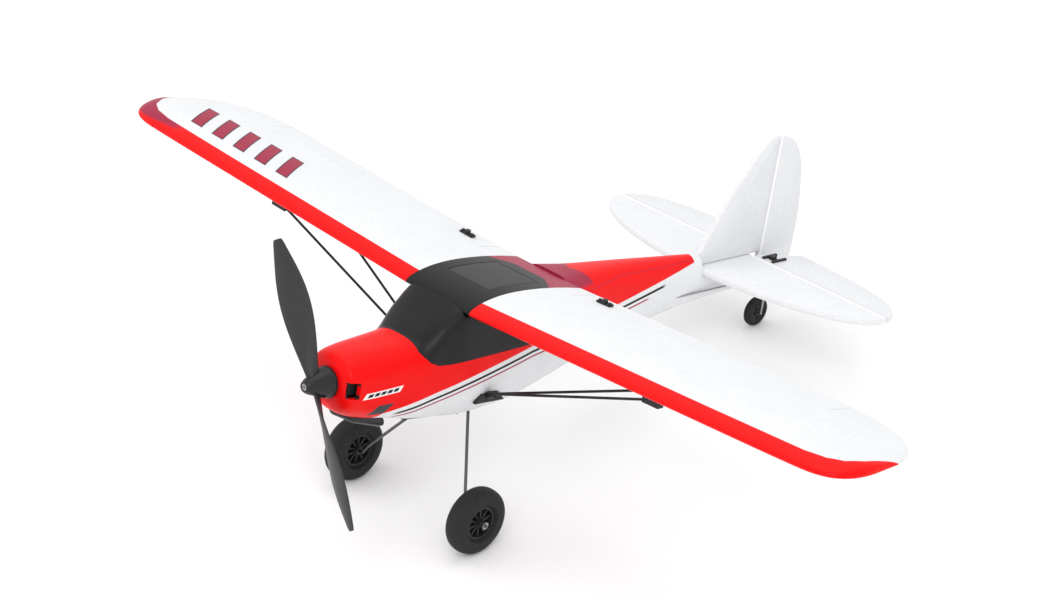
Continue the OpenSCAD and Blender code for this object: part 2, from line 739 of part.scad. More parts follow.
// Fin outline: [behind the propeller, height]
fin_top = 75.4;
module fin() color(foam) place() difference() {
    translate([-fin_thick / 2, 0, 0]) rotate([90, 0, 90]) linear_extrude(fin_thick)
        polygon([[fin_front_y + 0.1, fin_base_z + 0.05], [fin_front_y + 0.1, 21.4], [247.4, 40],
                 [258.6, 56], [270.5, 71], [273.4, 73.5], [277, 74.8], [rudder_hinge_y, fin_top],
                 [rudder_hinge_y, fin_base_z + 0.05]]);
    translate([0, rudder_hinge_y, 0]) cylinder(h = 90, r = rudder_nose + gap);
}

rudder_nose = fin_thick / 2 - 0.05;
rudder_foot = 8.4;
module rudder() color(foam) place() {
    difference() {
        translate([-fin_thick / 2 + 0.05, 0, 0]) rotate([90, 0, 90])
            linear_extrude(fin_thick - 0.1)
                polygon([[rudder_hinge_y, rudder_foot], [305.6, rudder_foot], [306.6, 9.6],
                         [307.2, 25], [306.3, 38], [304.4, 50], [301.6, 60], [297.4, 68],
                         [291.4, 73], [rudder_hinge_y, 75.2]]);
        translate([0, tail_axle_y, 0]) cylinder(h = 20, r = 0.72);
    }
    translate([0, rudder_hinge_y, rudder_foot])
        cylinder(h = 75.2 - rudder_foot, r = rudder_nose);
}

// Plate below the rudder with an arm to the right, hung from a block on the foot.
horn_z = rod_z + 0.7;
module rudder_horn() color(black) place() difference() {
    union() {
        translate([-9, rudder_hinge_y - 1.2, horn_z]) cube([9, 2.6, 0.9]);
        translate([-2.6, rudder_hinge_y - 1.2, horn_z]) cube([5.2, 10.8, 0.9]);
        translate([-1.5, rudder_hinge_y + 2, horn_z])
            cube([3, 7.6, rudder_foot - 0.05 - horn_z]);
    }
    translate([-rudder_arm, rudder_hinge_y, horn_z - 1]) slot(2.4, 0.65, 3);
    translate([0, tail_axle_y, horn_z - 1]) cylinder(h = 6, r = 0.72);
}

// ---- struts ----

module body_strut_brackets() color(black) place() for (s = [-1, 1]) on_side(s) difference() {
    union() {
        translate([16.1, 0, 0]) rotate([90, 0, 90]) linear_extrude(1.7)
            polygon([[80.5, -18], [83.9, -13.9], [94.4, -14.5], [98.6, -19]]);
        translate([16.6, 88.2, -15.6]) rotate([0, 62, -10]) cylinder(h = 6.4, r = 1.7);
    }
    body_solid();
    wire(strut_foot, strut_front, 0.75);
    wire(strut_foot + [0, 4, -0.8], strut_rear, 0.75);
}

module strut_pair() {
    wire(strut_foot, strut_front, 0.6);
    wire(strut_foot + [0, 4, -0.8], strut_rear, 0.6);
}

module wing_struts() color(black) place() for (s = [-1, 1]) on_side(s) strut_pair();

module strut_pad(at) {
    translate(at + [2.2, 0, 2.4]) rotate([0, -dihedral, 0]) cube([9, 3.4, 7.5], center = true);
}

module wing_strut_brackets() color(black) place() for (s = [-1, 1]) on_side(s) difference() {
    union() {
        strut_pad(strut_front);
        strut_pad(strut_rear);
    }
    translate([root_x, 0, root_z]) rotate([0, -dihedral, 0]) wing_loft();
    wire(strut_foot, strut_front, 0.75);
    wire(strut_foot + [0, 4, -0.8], strut_rear, 0.75);
}

// ---- undercarriage ----

leg_top = [6.5, 88, -21.6];
leg_knee = [31.8, 68.9, -57.2];
leg_axle = [34.4, axle_y, axle_z];
module gear_leg() crossed_wire([[1.5, leg_top[1], leg_top[2]], leg_top, leg_knee, leg_axle,
                             [track_half + 6.6, axle_y, axle_z]], wire_r, 0.42);

module gear_leg_left() color(steel) place() gear_leg();

module gear_leg_right() color(steel) place() mirror([1, 0, 0]) gear_leg();

module gear_clamp() color(black) place() difference() {
    translate([-5.6, leg_top[1] - 4, leg_top[2] - 1.6]) cube([11.2, 8, 3.2]);
    translate([-9, leg_top[1], leg_top[2]]) along_x() cylinder(h = 18, r = wire_r + 0.02);
}

hub_r = 7.8;
module tyre(s) color(black) place() translate([s * track_half, axle_y, axle_z]) along_x()
    rotate_extrude() polygon([
        [hub_r + 0.1, -tyre_w * 0.36], [hub_r + 1.2, -tyre_w * 0.42], [10.4, -tyre_w / 2],
        [12.2, -tyre_w * 0.48], [13.8, -tyre_w * 0.38], [14.9, -tyre_w * 0.22],
        [tyre_r, -tyre_w * 0.08], [tyre_r, tyre_w * 0.08], [14.9, tyre_w * 0.22],
        [13.8, tyre_w * 0.38], [12.2, tyre_w * 0.48], [10.4, tyre_w / 2],
        [hub_r + 1.2, tyre_w * 0.42], [hub_r + 0.1, tyre_w * 0.36]]);

module tyre_left() tyre(1);

module tyre_right() tyre(-1);

spokes = 10;
module hub(s) color(black) place() translate([s * track_half, axle_y, axle_z]) along_x()
    difference() {
        union() {
            translate([0, 0, -3.6]) difference() {
                cylinder(h = 7.2, r = hub_r);
                translate([0, 0, -1]) cylinder(h = 10, r = hub_r - 1.1);
            }
            translate([0, 0, -4]) cylinder(h = 8, r = 1.9);
            translate([0, 0, -0.5]) cylinder(h = 1, r = hub_r - 0.6);
            for (k = [0:spokes - 1]) rotate([0, 0, 360 * k / spokes])
                translate([1.4, -0.45, -2.6]) cube([hub_r - 2, 0.9, 5.2]);
        }
        translate([0, 0, -6]) cylinder(h = 12, r = wire_r + running);
    }

module hub_left() hub(1);

module hub_right() hub(-1);

module wheel_collars() color(steel) place() for (s = [-1, 1])
    translate([s * (track_half + 5.4), axle_y, axle_z]) along_x() difference() {
        translate([0, 0, -1]) cylinder(h = 2, r = 1.7);
        translate([0, 0, -2]) cylinder(h = 4, r = wire_r + 0.02);
    }

tail_wheel_w = 4;
module tail_gear_wire() color(steel) place()
    crossed_wire([[0, tail_axle_y, 17], [0, tail_axle_y, 2], [3.4, tail_axle_y, -3],
               [3.4, tail_axle_y, tail_axle_z], [-3, tail_axle_y, tail_axle_z]], 0.6, 0.36);

module tail_tyre() color(black) place() translate([0, tail_axle_y, tail_axle_z]) along_x()
    rotate_extrude() polygon([
        [3.6, -1.5], [5, -tail_wheel_w / 2], [6.6, -1.6], [tail_wheel_r, -0.5],
        [tail_wheel_r, 0.5], [6.6, 1.6], [5, tail_wheel_w / 2], [3.6, 1.5]]);

module tail_hub() color(black) place() translate([0, tail_axle_y, tail_axle_z]) along_x()
    difference() {
        union() {
            translate([0, 0, -1.4]) cylinder(h = 2.8, r = 3.5);
            translate([0, 0, -2]) cylinder(h = 4, r = 1.5);
        }
        translate([0, 0, -4]) cylinder(h = 8, r = 0.6 + running);
        for (k = [0:4]) rotate([0, 0, 72 * k]) translate([2.5, 0, -3]) cylinder(h = 6, r = 0.55);
    }

// ---- battery door ----

// The door lies flush in the belly, sloping down to its hinge at the rear.
module door_frame() translate([0, door_rear, door_z]) rotate([-door_slope, 0, 0]) children();

module battery_door() color(black) place() door_frame() difference() {
    union() {
        translate([-door_half, -31.6, 0]) cube([2 * door_half, 31, 1.4]);
        translate([-4, 0, 0.9]) along_x() cylinder(h = 8, r = 0.9);
        translate([-4, -1.2, 0]) cube([8, 1.2, 1.4]);
        translate([0.6, -24, -1.6]) rotate([0, -90, 0]) cylinder(h = 1.2, r = 2);
        translate([-0.6, -25.6, -1.2]) cube([1.2, 3.2, 1.6]);
    }
    translate([-5, 0, 0.9]) along_x() cylinder(h = 10, r = 0.5 + running);
    translate([2, -24, -1.8]) rotate([0, -90, 0]) cylinder(h = 4, r = 1.1);
}

module door_pin() color(steel) place() door_frame()
    translate([-9.5, 0, 0.9]) along_x() cylinder(h = 19, r = 0.5);

fuselage_left();
fuselage_right();
cabin_roof();
roof_hatch();
hatch_magnets();
chin_scoop();
battery_door();
door_pin();
motor_mount();
shaft_bushes();
prop_shaft();
spur_gear();
pinion();
motor();
propeller();
spinner();
spinner_screw();
battery();
receiver_board();
servo_tray();
elevator_servo();
rudder_servo();
elevator_servo_arm();
rudder_servo_arm();
elevator_pushrod();
rudder_pushrod();
elevator_horn();
rudder_horn();
aileron_servo_left();
aileron_servo_right();
aileron_arm_left();
aileron_arm_right();
aileron_link_left();
aileron_link_right();
aileron_horn_left();
aileron_horn_right();
wing_joiner();
wing_left();
wing_right();
aileron_left();
aileron_right();
stabiliser();
elevator();
elevator_joiner();
fin();
rudder();
body_strut_brackets();
wing_strut_brackets();
wing_struts();
gear_leg_left();
gear_leg_right();
gear_clamp();
tyre_left();
tyre_right();
hub_left();
hub_right();
wheel_collars();
tail_gear_wire();
tail_tyre();
tail_hub();
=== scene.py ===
import json
import math

import bmesh
import bpy
from mathutils import Matrix, Vector


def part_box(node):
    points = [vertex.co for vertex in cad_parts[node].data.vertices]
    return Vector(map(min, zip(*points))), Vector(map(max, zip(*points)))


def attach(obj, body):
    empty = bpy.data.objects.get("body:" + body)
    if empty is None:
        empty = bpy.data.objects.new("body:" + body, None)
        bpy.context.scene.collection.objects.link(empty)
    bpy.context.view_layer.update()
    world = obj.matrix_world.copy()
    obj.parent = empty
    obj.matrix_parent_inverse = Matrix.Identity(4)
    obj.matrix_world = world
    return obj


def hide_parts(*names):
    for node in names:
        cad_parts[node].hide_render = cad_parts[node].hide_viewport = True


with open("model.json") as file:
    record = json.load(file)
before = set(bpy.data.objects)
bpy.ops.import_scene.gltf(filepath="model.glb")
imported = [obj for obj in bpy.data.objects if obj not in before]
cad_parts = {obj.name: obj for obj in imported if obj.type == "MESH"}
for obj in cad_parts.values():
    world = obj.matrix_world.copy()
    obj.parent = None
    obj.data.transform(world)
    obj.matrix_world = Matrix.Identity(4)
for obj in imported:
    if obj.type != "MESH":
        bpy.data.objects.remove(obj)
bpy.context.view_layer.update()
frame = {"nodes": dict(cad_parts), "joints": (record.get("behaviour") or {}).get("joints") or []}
print("frame loaded:", len(frame["nodes"]), "nodes")

# The aeroplane's own axes: along the wing, along the shaft towards the tail, and up.
joints = {j["name"]: j for j in frame["joints"]}
shaftPoint = Vector(joints["prop_spin"]["pos_m"])
acrossAxis = Vector((1, 0, 0))
aftAxis = Vector(joints["prop_spin"]["axis"]).normalized()
upAxis = acrossAxis.cross(aftAxis)
mm = 0.001

wing = {"front": 65.3, "chord": 68.7, "rootX": 20.2, "rootZ": 28.5, "slope": 2.84,
        "span": 451, "tipMid": 26.7, "hingeBack": 53.7, "aileronIn": 10.5,
        "aileronOut": 157, "gap": 0.3, "steps": 30, "gridStep": 6, "noseFrom": 179.8,
        "tailFrom": 144.8, "tipRings": 34, "tipRise": 1.6, "seat": 2.2,
        "servoBay": ((25.3, 82.9, -8), (40.5, 99.1, 4.4)),
        "armSlot": ((22.2, 90, -8), (25.5, 100, 4)), "horn": (23.8, 5.4, 0.95)}
wing["tipX"] = wing["span"] / 2 - wing["rootX"]
wing["hingeY"] = wing["front"] + wing["hingeBack"]


def put(x, y, z):
    return shaftPoint + (acrossAxis * x + aftAxis * y + upAxis * z) * mm


def putOnWing(side):
    c, s = math.cos(math.radians(wing["slope"])), math.sin(math.radians(wing["slope"]))
    return lambda x, y, z: put(side * (wing["rootX"] + x * c - z * s), y,
                               wing["rootZ"] + x * s + z * c)


def startMesh(points, faces, where=put):
    bm = bmesh.new()
    made = [bm.verts.new(where(*p)) for p in points]
    for face in faces:
        bm.faces.new([made[i] for i in face])
    bmesh.ops.recalc_face_normals(bm, faces=bm.faces)
    return bm


# Closed skin through a row of rings with the same number of points.
def skinRings(rings, where=put):
    n = len(rings[0])
    points = [p for ring in rings for p in ring]
    faces = [(r * n + i, r * n + (i + 1) % n, (r + 1) * n + (i + 1) % n, (r + 1) * n + i)
             for r in range(len(rings) - 1) for i in range(n)]
    faces += [tuple(range(n)), tuple((len(rings) - 1) * n + i for i in range(n))]
    return startMesh(points, faces, where)


# Thick skin: an outer row of rings and an inner one, joined at both ends.
def shellRings(outer, inner):
    n, rows = len(outer[0]), len(outer)
    points = [p for ring in outer + inner for p in ring]
    faces = []
    for base in (0, rows * n):
        faces += [(base + r * n + i, base + r * n + (i + 1) % n,
                   base + (r + 1) * n + (i + 1) % n, base + (r + 1) * n + i)
                  for r in range(rows - 1) for i in range(n)]
    for r in (0, rows - 1):
        faces += [(r * n + i, r * n + (i + 1) % n, (rows + r) * n + (i + 1) % n,
                   (rows + r) * n + i) for i in range(n)]
    return startMesh(points, faces)


# Angles of this many even steps round a circle.
def turnsOf(steps):
    return [2 * math.pi * k / steps for k in range(steps)]


# Profile of (radius, distance along) turned about an axis through centre.
def turned(profile, centre, axis, steps=96):
    axis = Vector(axis).normalized()
    side = axis.cross(Vector((0.3, 0.2, 1))).normalized()
    other = axis.cross(side)
    centre = Vector(centre)
    points, faces, n = [], [], len(profile)
    for a in turnsOf(steps):
        out = side * math.cos(a) + other * math.sin(a)
        points += [centre + out * r + axis * d for r, d in profile]
    for k in range(steps):
        m = (k + 1) % steps
        faces += [(k * n + i, k * n + i + 1, m * n + i + 1, m * n + i)
                  for i in range(n - 1)]
        faces.append((k * n + n - 1, k * n, m * n, m * n + n - 1))
    bm = startMesh(points, faces)
    bmesh.ops.remove_doubles(bm, verts=bm.verts, dist=1e-7)
    bmesh.ops.dissolve_degenerate(bm, edges=bm.edges, dist=1e-8)
    bmesh.ops.recalc_face_normals(bm, faces=bm.faces)
    return bm


def block(low, high, where=put):
    corners = [(x, y, z) for x in (low[0], high[0]) for y in (low[1], high[1])
               for z in (low[2], high[2])]
    return startMesh(corners, [(0, 1, 3, 2), (4, 6, 7, 5), (0, 4, 5, 1), (2, 3, 7, 6),
                               (0, 2, 6, 4), (1, 5, 7, 3)], where)


# Round bar along the panel or body x axis.
def bar(x0, x1, y, z, radius, where=put, steps=32):
    return skinRings([[(x, y + radius * math.cos(a), z + radius * math.sin(a))
                       for a in turnsOf(steps)] for x in (x0, x1)], where)


def toObject(name, bm):
    mesh = bpy.data.meshes.new(name)
    bm.to_mesh(mesh)
    bm.free()
    obj = bpy.data.objects.new(name, mesh)
    bpy.context.scene.collection.objects.link(obj)
    return obj


# Solid after boolean steps, each one an operation and the mesh of the other solid.
def carve(name, bm, steps):
    obj = toObject(name, bm)
    for operation, other in steps:
        tool = toObject(name + "Tool", other)
        change = obj.modifiers.new("carve", "BOOLEAN")
        change.operation, change.solver, change.object = operation, "EXACT", tool
        bpy.context.view_layer.update()
        done = bpy.data.meshes.new_from_object(
            obj.evaluated_get(bpy.context.evaluated_depsgraph_get()))
        obj.modifiers.clear()
        obj.data = done
        bpy.data.objects.remove(tool)
    return obj


def dress(obj, body, material, nodes=(), sharp=32, bevel=0):
    obj.data.materials.clear()
    obj.data.materials.append(material)
    for face in obj.data.polygons:
        face.use_smooth = True
        face.material_index = 0
    obj.data.set_sharp_from_angle(angle=math.radians(sharp))
    if bevel:
        soften(obj, bevel, sharp)
    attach(obj, body)
    if nodes:
        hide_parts(*nodes)
    return obj


def soften(obj, width, sharp=32):
    change = obj.modifiers.new("edges", "BEVEL")
    change.width, change.segments = width * mm, 3
    change.limit_method, change.angle_limit = "ANGLE", math.radians(sharp)
    change.harden_normals = True


# A socket with arithmetic: an expression on values adds its Math nodes.
class Value:
    def __init__(self, kit, socket):
        self.kit, self.socket = kit, socket

    def __add__(self, other):
        return self.kit.maths("ADD", self, other)

    def __sub__(self, other):
        return self.kit.maths("SUBTRACT", self, other)

    def __rsub__(self, other):
        return self.kit.maths("SUBTRACT", other, self)

    def __mul__(self, other):
        return self.kit.maths("MULTIPLY", self, other)

    def __truediv__(self, other):
        return self.kit.maths("DIVIDE", self, other)

    def __rtruediv__(self, other):
        return self.kit.maths("DIVIDE", other, self)

    __radd__ = __add__
    __rmul__ = __mul__


# A material under construction.
class Finish:
    def __init__(self, name):
        self.material = bpy.data.materials.new(name)
        self.material.use_nodes = True
        self.nodes = self.material.node_tree.nodes
        self.links = self.material.node_tree.links
        self.shader = self.nodes["Principled BSDF"]
        self.spots = {}

    def node(self, kind, settings=None, sockets=None, out=0):
        made = self.nodes.new(kind)
        for key, value in (settings or {}).items():
            if key == "stops":
                ramp = made.color_ramp.elements
                while len(ramp) < len(value):
                    ramp.new(0.5)
                for k, (at, shade) in enumerate(sorted(value)):
                    ramp[k].position, ramp[k].color = at, (*shade, 1)
            else:
                setattr(made, key, value)
        for key, value in (sockets or {}).items():
            self.feed(made.inputs[key], value)
        return Value(self, made.outputs[out])

    def feed(self, socket, value):
        if isinstance(value, Value):
            self.links.new(value.socket, socket)
        elif isinstance(value, tuple) and len(value) == 3 and socket.type == "RGBA":
            socket.default_value = (*value, 1)
        else:
            socket.default_value = value

    def maths(self, operation, a, b=0.0, clamp=False):
        return self.node("ShaderNodeMath", {"operation": operation, "use_clamp": clamp},
                         {0: a, 1: b})

    def both(self, a, b):
        return self.maths("MINIMUM", a, b)

    def either(self, a, b):
        return self.maths("MAXIMUM", a, b)

    # 1 where value is above 0, with a soft edge this many mm wide.
    def above(self, value, soft=0.25):
        return self.maths("ADD", value * (1 / soft), 0.5, clamp=True)

    def within(self, value, low, high, soft=0.25):
        return self.both(self.above(value - low, soft), self.above(high - value, soft))

    # Height of a drawn line at the place "along", through the given points.
    def line(self, along, points):
        first, last = points[0][0], points[-1][0]
        low = min(p[1] for p in points)
        size = max(p[1] for p in points) - low or 1
        stops = [((a - first) / (last - first), ((b - low) / size,) * 3) for a, b in points]
        ramp = self.node("ShaderNodeValToRGB", {"stops": stops},
                         {0: (along - first) / (last - first)})
        return ramp * size + low

    def spot(self):
        if not self.spots:
            at = self.node("ShaderNodeTexCoord", out="Object")
            local = self.node("ShaderNodeVectorMath", {"operation": "SUBTRACT"},
                              {0: at, 1: tuple(shaftPoint)})
            for key, axis in (("x", acrossAxis), ("y", aftAxis), ("z", upAxis)):
                self.spots[key] = self.node(
                    "ShaderNodeVectorMath", {"operation": "DOT_PRODUCT"},
                    {0: local, 1: tuple(axis / mm)}, out="Value")
            self.spots["side"] = self.maths("ABSOLUTE", self.spots["x"])
            self.spots["at"] = at
        return self.spots

    def noise(self, size, detail=3.0, rough=0.55, stretch=(1, 1, 1)):
        at = self.node("ShaderNodeVectorMath", {"operation": "MULTIPLY"},
                       {0: self.spot()["at"], 1: tuple(s / (size * mm) for s in stretch)})
        return self.node("ShaderNodeTexNoise", None,
                         {"Vector": at, "Scale": 1.0, "Detail": detail, "Roughness": rough})

    def cells(self, size):
        return self.node("ShaderNodeTexVoronoi", {"feature": "DISTANCE_TO_EDGE"},
                         {"Vector": self.spot()["at"], "Scale": 1 / (size * mm)})

    def mix(self, factor, a, b):
        return self.node("ShaderNodeMix", {"data_type": "RGBA"}, {0: factor, 6: a, 7: b},
                         out=2)

    def bump(self, height, depth):
        return self.node("ShaderNodeBump", None, {"Height": height, "Strength": 1.0,
                                                  "Distance": depth * mm})

    def done(self, **sockets):
        for key, value in sockets.items():
            self.feed(self.shader.inputs[key.replace("_", " ")], value)
        return self.material


foamLook = {"white": (0.80, 0.81, 0.82), "shade": (0.70, 0.71, 0.73), "bead": 2.6,
            "grain": 0.5, "sag": 16, "depth": 0.035, "rough": 0.72, "gleam": 0.14}
paintLook = {"red": (0.86, 0.002, 0.002), "redShade": (0.76, 0.001, 0.002),
             "wine": (0.34, 0.020, 0.055), "black": (0.012, 0.012, 0.013),
             "grey": (0.055, 0.055, 0.057), "white": (0.85, 0.85, 0.85),
             "screen": (0.016, 0.016, 0.017), "roof": (0.014, 0.014, 0.015),
             "mark": (0.03, 0.03, 0.055), "mottle": 9}


# Bead foam: pressed beads with fine seams between them, and a faint skin grain.
def foamSurface(kit):
    beads = kit.maths("MULTIPLY", kit.cells(foamLook["bead"]), 3.0, clamp=True)
    sag = kit.noise(foamLook["sag"], 2.0)
    height = beads * 0.45 + kit.noise(foamLook["grain"], 4.0) * 0.25 + sag * 1.6
    return kit.mix(beads * 0.4 + sag * 0.6, foamLook["shade"], foamLook["white"]), height


# Foam with paint over it: rows of mask, colour and roughness, and any grooves below.
def foamFinish(name, paint, grooves=None):
    kit = Finish(name)
    colour, height = foamSurface(kit)
    rough = foamLook["rough"] - kit.noise(3.0) * 0.2
    for mask, shade, gloss in paint(kit):
        colour = kit.mix(mask, colour, shade)
        rough = rough * (1 - mask) + mask * gloss
        height = height * (1 - mask * 0.45) + mask * 0.25
    if grooves:
        height = height - grooves(kit)
    return kit.done(Base_Color=colour, Roughness=rough, Specular_IOR_Level=foamLook["gleam"],
                    Normal=kit.bump(height, foamLook["depth"]))


def redPaint(kit):
    return kit.mix(kit.noise(paintLook["mottle"]), paintLook["redShade"], paintLook["red"])


# Heights are lines over the distance behind the propeller.
bodyPaint = {
    "redLine": [(20, -24), (26, -17.5), (29, -13.6), (51.5, -8.5), (74.5, -3.5), (112, 4.6),
                (172, 12), (231, 19.6)],
    "sill": [(44, 13.5), (46.5, 10.4), (49.5, 7.6), (54, 5.6), (60, 5.2), (112, 5.6),
             (128, 8)],
    "facet": [(120, 16), (141, 14.5), (175, 8), (206, 5.5), (231, 3)], "facetFrom": 140,
    "wineFrom": 112, "wineTo": 147, "wineLow": 24.5, "wineFlare": 0.55,
    "screenFront": 45.6, "screenBow": 0.002, "windowBack": 127,
    "windowLean": 0.3, "windowFoot": 8, "redBack": 230.6,
    "stripes": {"black": (3.0, 1.25, 0), "wine": (5.4, 0.85, 12)},
    "stripesFrom": 36, "stripesTo": 206,
    "louvre": {"front": 20.3, "long": 8.4, "low": -13.4, "high": -8.2, "foot": -13.6,
               "lean": 0.75},
    "badge": {"front": 15.6, "back": 35.2, "middle": -2.6, "climb": 0.045, "from": 16,
              "lean": 0.6, "halfHigh": 1.35, "barHigh": 0.75, "pitch": 1.7, "inset": 1},
    "intakeRim": ((8.1, 12.9), (-3.2, 4.0), 8.0),
}


def bodyPaintMasks(kit):
    p, b = kit.spot(), bodyPaint
    y, z, side = p["y"], p["z"], p["side"]
    edge = kit.line(y, b["redLine"])
    redMask = kit.both(kit.above(z - edge), kit.above(b["redBack"] - y))
    wineMask = kit.both(redMask, kit.both(
        kit.above(y - b["wineFrom"]),
        kit.both(kit.above(z - b["wineLow"], 2.0),
                 kit.above(b["wineTo"] - y + side * b["wineFlare"], 0.4))))
    seam = kit.both(kit.both(redMask, kit.above(y - b["facetFrom"])),
                    kit.within(side - kit.line(y, b["facet"]), -0.2, 0.2, 0.4)) * 0.45
    screen = kit.both(kit.both(kit.above(z - kit.line(y, b["sill"])),
                               kit.above(y - b["screenFront"] + side * side * b["screenBow"])),
                      kit.above(b["windowBack"] - y - (z - b["windowFoot"]) * b["windowLean"]))
    run = kit.within(y, b["stripesFrom"], b["stripesTo"], 3.0)
    stripes = []
    for word, (drop, wide, short) in b["stripes"].items():
        reach = kit.both(kit.above(b["stripesTo"] - short - y, 2.0), run) if short else run
        band = kit.within(edge - z, drop - wide / 2, drop + wide / 2, 0.2)
        stripes.append((kit.both(reach, band), paintLook[word], 0.4))
    v = b["louvre"]
    slant = y - v["front"] - (z - v["foot"]) * v["lean"]
    louvre = kit.both(kit.within(z, v["low"], v["high"], 0.3),
                      kit.within(slant, 0, v["long"], 0.3))
    d = b["badge"]
    rise = z - d["middle"] - (y - d["from"]) * d["climb"]
    along = y - rise * d["lean"]
    plate = kit.both(kit.within(along, d["front"], d["back"], 0.3),
                     kit.within(rise, -d["halfHigh"], d["halfHigh"], 0.3))
    inBadge = kit.both(kit.within(along, d["front"] + d["inset"], d["back"] - d["inset"], 0.2),
                       kit.within(rise, -d["barHigh"], d["barHigh"], 0.2))
    bars = kit.both(inBadge, kit.above(kit.maths("PINGPONG", along, d["pitch"]) - 0.4, 0.3))
    (rimFront, rimBack), (rimLow, rimHigh), rimSide = b["intakeRim"]
    intake = kit.both(kit.both(kit.within(y, rimFront, rimBack, 0.2),
                               kit.within(z, rimLow, rimHigh, 0.2)), kit.above(side - rimSide))
    return [(redMask, redPaint(kit), 0.36), (wineMask, paintLook["wine"], 0.38),
            (seam, paintLook["wine"], 0.4), *stripes, (louvre, paintLook["grey"], 0.45),
            (plate, paintLook["white"], 0.4), (bars, paintLook["black"], 0.4),
            (intake, paintLook["black"], 0.5), (screen, paintLook["screen"], 0.3)]


roofPaint = {"blackBack": 121.5, "cornerFrom": 9.5, "cornerSlope": 0.75, "low": 5}


def roofPaintMasks(kit):
    p, look = kit.spot(), roofPaint
    corner = kit.either(p["side"] - look["cornerFrom"], 0.0) * look["cornerSlope"]
    return [(kit.above(p["z"] - look["low"]), paintLook["wine"], 0.38),
            (kit.above(look["blackBack"] - p["y"] - corner), paintLook["roof"], 0.36)]


wingPaint = {"tipLine": [(0, 72.6), (150, 72.6), (200, 72.9), (209.6, 74.4), (216, 78),
                         (220.4, 85), (223, 94), (225.5, 106)],
             "tipWineFrom": 190, "tipWineHigh": 40.0, "topFrom": 30,
             "barsFrom": 116, "barsTo": 203, "barFront": 79.5, "barBack": 99.5,
             "barPitch": 15.8, "lean": 0.55, "barInset": 3.7, "rim": 0.7,
             "hingeGroove": (2.4, 3.4), "hingeRun": (30, 178), "ribPitch": 12.0}


def wingPaintMasks(kit):
    p, w = kit.spot(), wingPaint
    band = kit.above(kit.line(p["side"], w["tipLine"]) - p["y"])
    tipTop = kit.both(kit.both(band, kit.above(-w["tipWineFrom"] - p["x"], 6)),
                      kit.above(p["z"] - w["tipWineHigh"], 0.8))
    return [(band, redPaint(kit), 0.34), (tipTop, paintLook["wine"], 0.38)]


# Slanted marks in place of a registration.
def wingMarkMasks(kit):
    p, w = kit.spot(), wingPaint
    y = p["y"]
    along = p["side"] - w["barsFrom"] - (y - w["barFront"]) * w["lean"]
    row = kit.both(kit.within(along, 0, w["barsTo"] - w["barsFrom"] - 8, 0.3),
                   kit.within(y, w["barFront"], w["barBack"], 0.3))
    row = kit.both(row, kit.above(p["z"] - w["topFrom"]))
    place = kit.maths("PINGPONG", along, w["barPitch"] / 2) - w["barInset"]
    marks = kit.both(row, kit.above(place, 0.3))
    inner = kit.both(kit.both(marks, kit.above(place - w["rim"], 0.3)),
                     kit.within(y, w["barFront"] + 0.6, w["barBack"] - 0.6, 0.3))
    return wingPaintMasks(kit) + [(marks, paintLook["mark"], 0.4),
                                  (inner, paintLook["wine"], 0.4)]


def wingGrooves(kit):
    p, (near, far) = kit.spot(), wingPaint["hingeGroove"]
    hinge = kit.both(kit.within(p["y"], wing["hingeY"] - far, wing["hingeY"] - near, 0.5),
                     kit.within(p["side"], *wingPaint["hingeRun"], 1.0))
    ribs = kit.maths("PINGPONG", p["side"] - wing["rootX"], wingPaint["ribPitch"])
    return hinge * 1.4 + kit.above(0.5 - ribs, 0.8) * 0.12


# Distances behind the propeller of each hinge's painted highlight, the painted shade beside it
# and its swell, on the tailplane and on the fin.
tailPaint = {"half": 3, "flat": {"paintedHighlight": (273.9, 275.2), "shade": (275.4, 277.6),
                                 "swell": (273.4, 276.0)},
             "tall": {"paintedHighlight": (281.9, 283.2), "shade": (279.6, 281.6),
                      "swell": (281.4, 284.0)},
             # The pale hinge colour is a painted highlight and the darker one is painted shade.
             "highlightColour": (0.95, 0.95, 0.95), "shadeColour": (0.66, 0.66, 0.68)}


def tailBand(kit, word, soft):
    p = kit.spot()
    across = kit.both(kit.within(p["y"], *tailPaint["flat"][word], soft),
                      kit.above(p["side"] - tailPaint["half"]))
    tall = kit.both(kit.within(p["y"], *tailPaint["tall"][word], soft),
                    kit.above(tailPaint["half"] - p["side"]))
    return kit.either(across, tall)


# Each hinge groove gets a painted highlight as a thin pale band, with a band of painted shade
# beside it.
def tailLines(kit):
    return [(tailBand(kit, "shade", 1.6) * 0.5, tailPaint["shadeColour"], 0.6),
            (tailBand(kit, "paintedHighlight", 0.5), tailPaint["highlightColour"], 0.5)]


def tailGrooves(kit):
    return tailBand(kit, "swell", 1.2) * -2.4


print("paint ready")

foamBody = foamFinish("bodyFoam", bodyPaintMasks)
foamRoof = foamFinish("roofFoam", roofPaintMasks)
foamWingLeft = foamFinish("leftWingFoam", wingPaintMasks, wingGrooves)
foamWingRight = foamFinish("rightWingFoam", wingMarkMasks, wingGrooves)
foamTail = foamFinish("tailFoam", tailLines, tailGrooves)


def plasticFinish(name, shade, rough, grain=0.35, depth=0.015):
    kit = Finish(name)
    cloud = kit.noise(6, 4.0)
    colour = kit.mix(cloud, tuple(c * 0.82 for c in shade), tuple(c * 1.18 for c in shade))
    height = kit.noise(grain, 3.0)
    return kit.done(Base_Color=colour, Roughness=rough - 0.06 + cloud * 0.14,
                    Normal=kit.bump(height, depth), Specular_IOR_Level=0.25)


def metalFinish(name, shade, rough):
    kit = Finish(name)
    streak = kit.noise(0.6, 4.0, 0.6)
    tarnish = kit.noise(4, 3.0)
    colour = kit.mix(tarnish, tuple(c * 0.8 for c in shade), shade)
    return kit.done(Base_Color=colour, Metallic=1.0, Roughness=rough + streak * 0.18,
                    Normal=kit.bump(streak, 0.006))


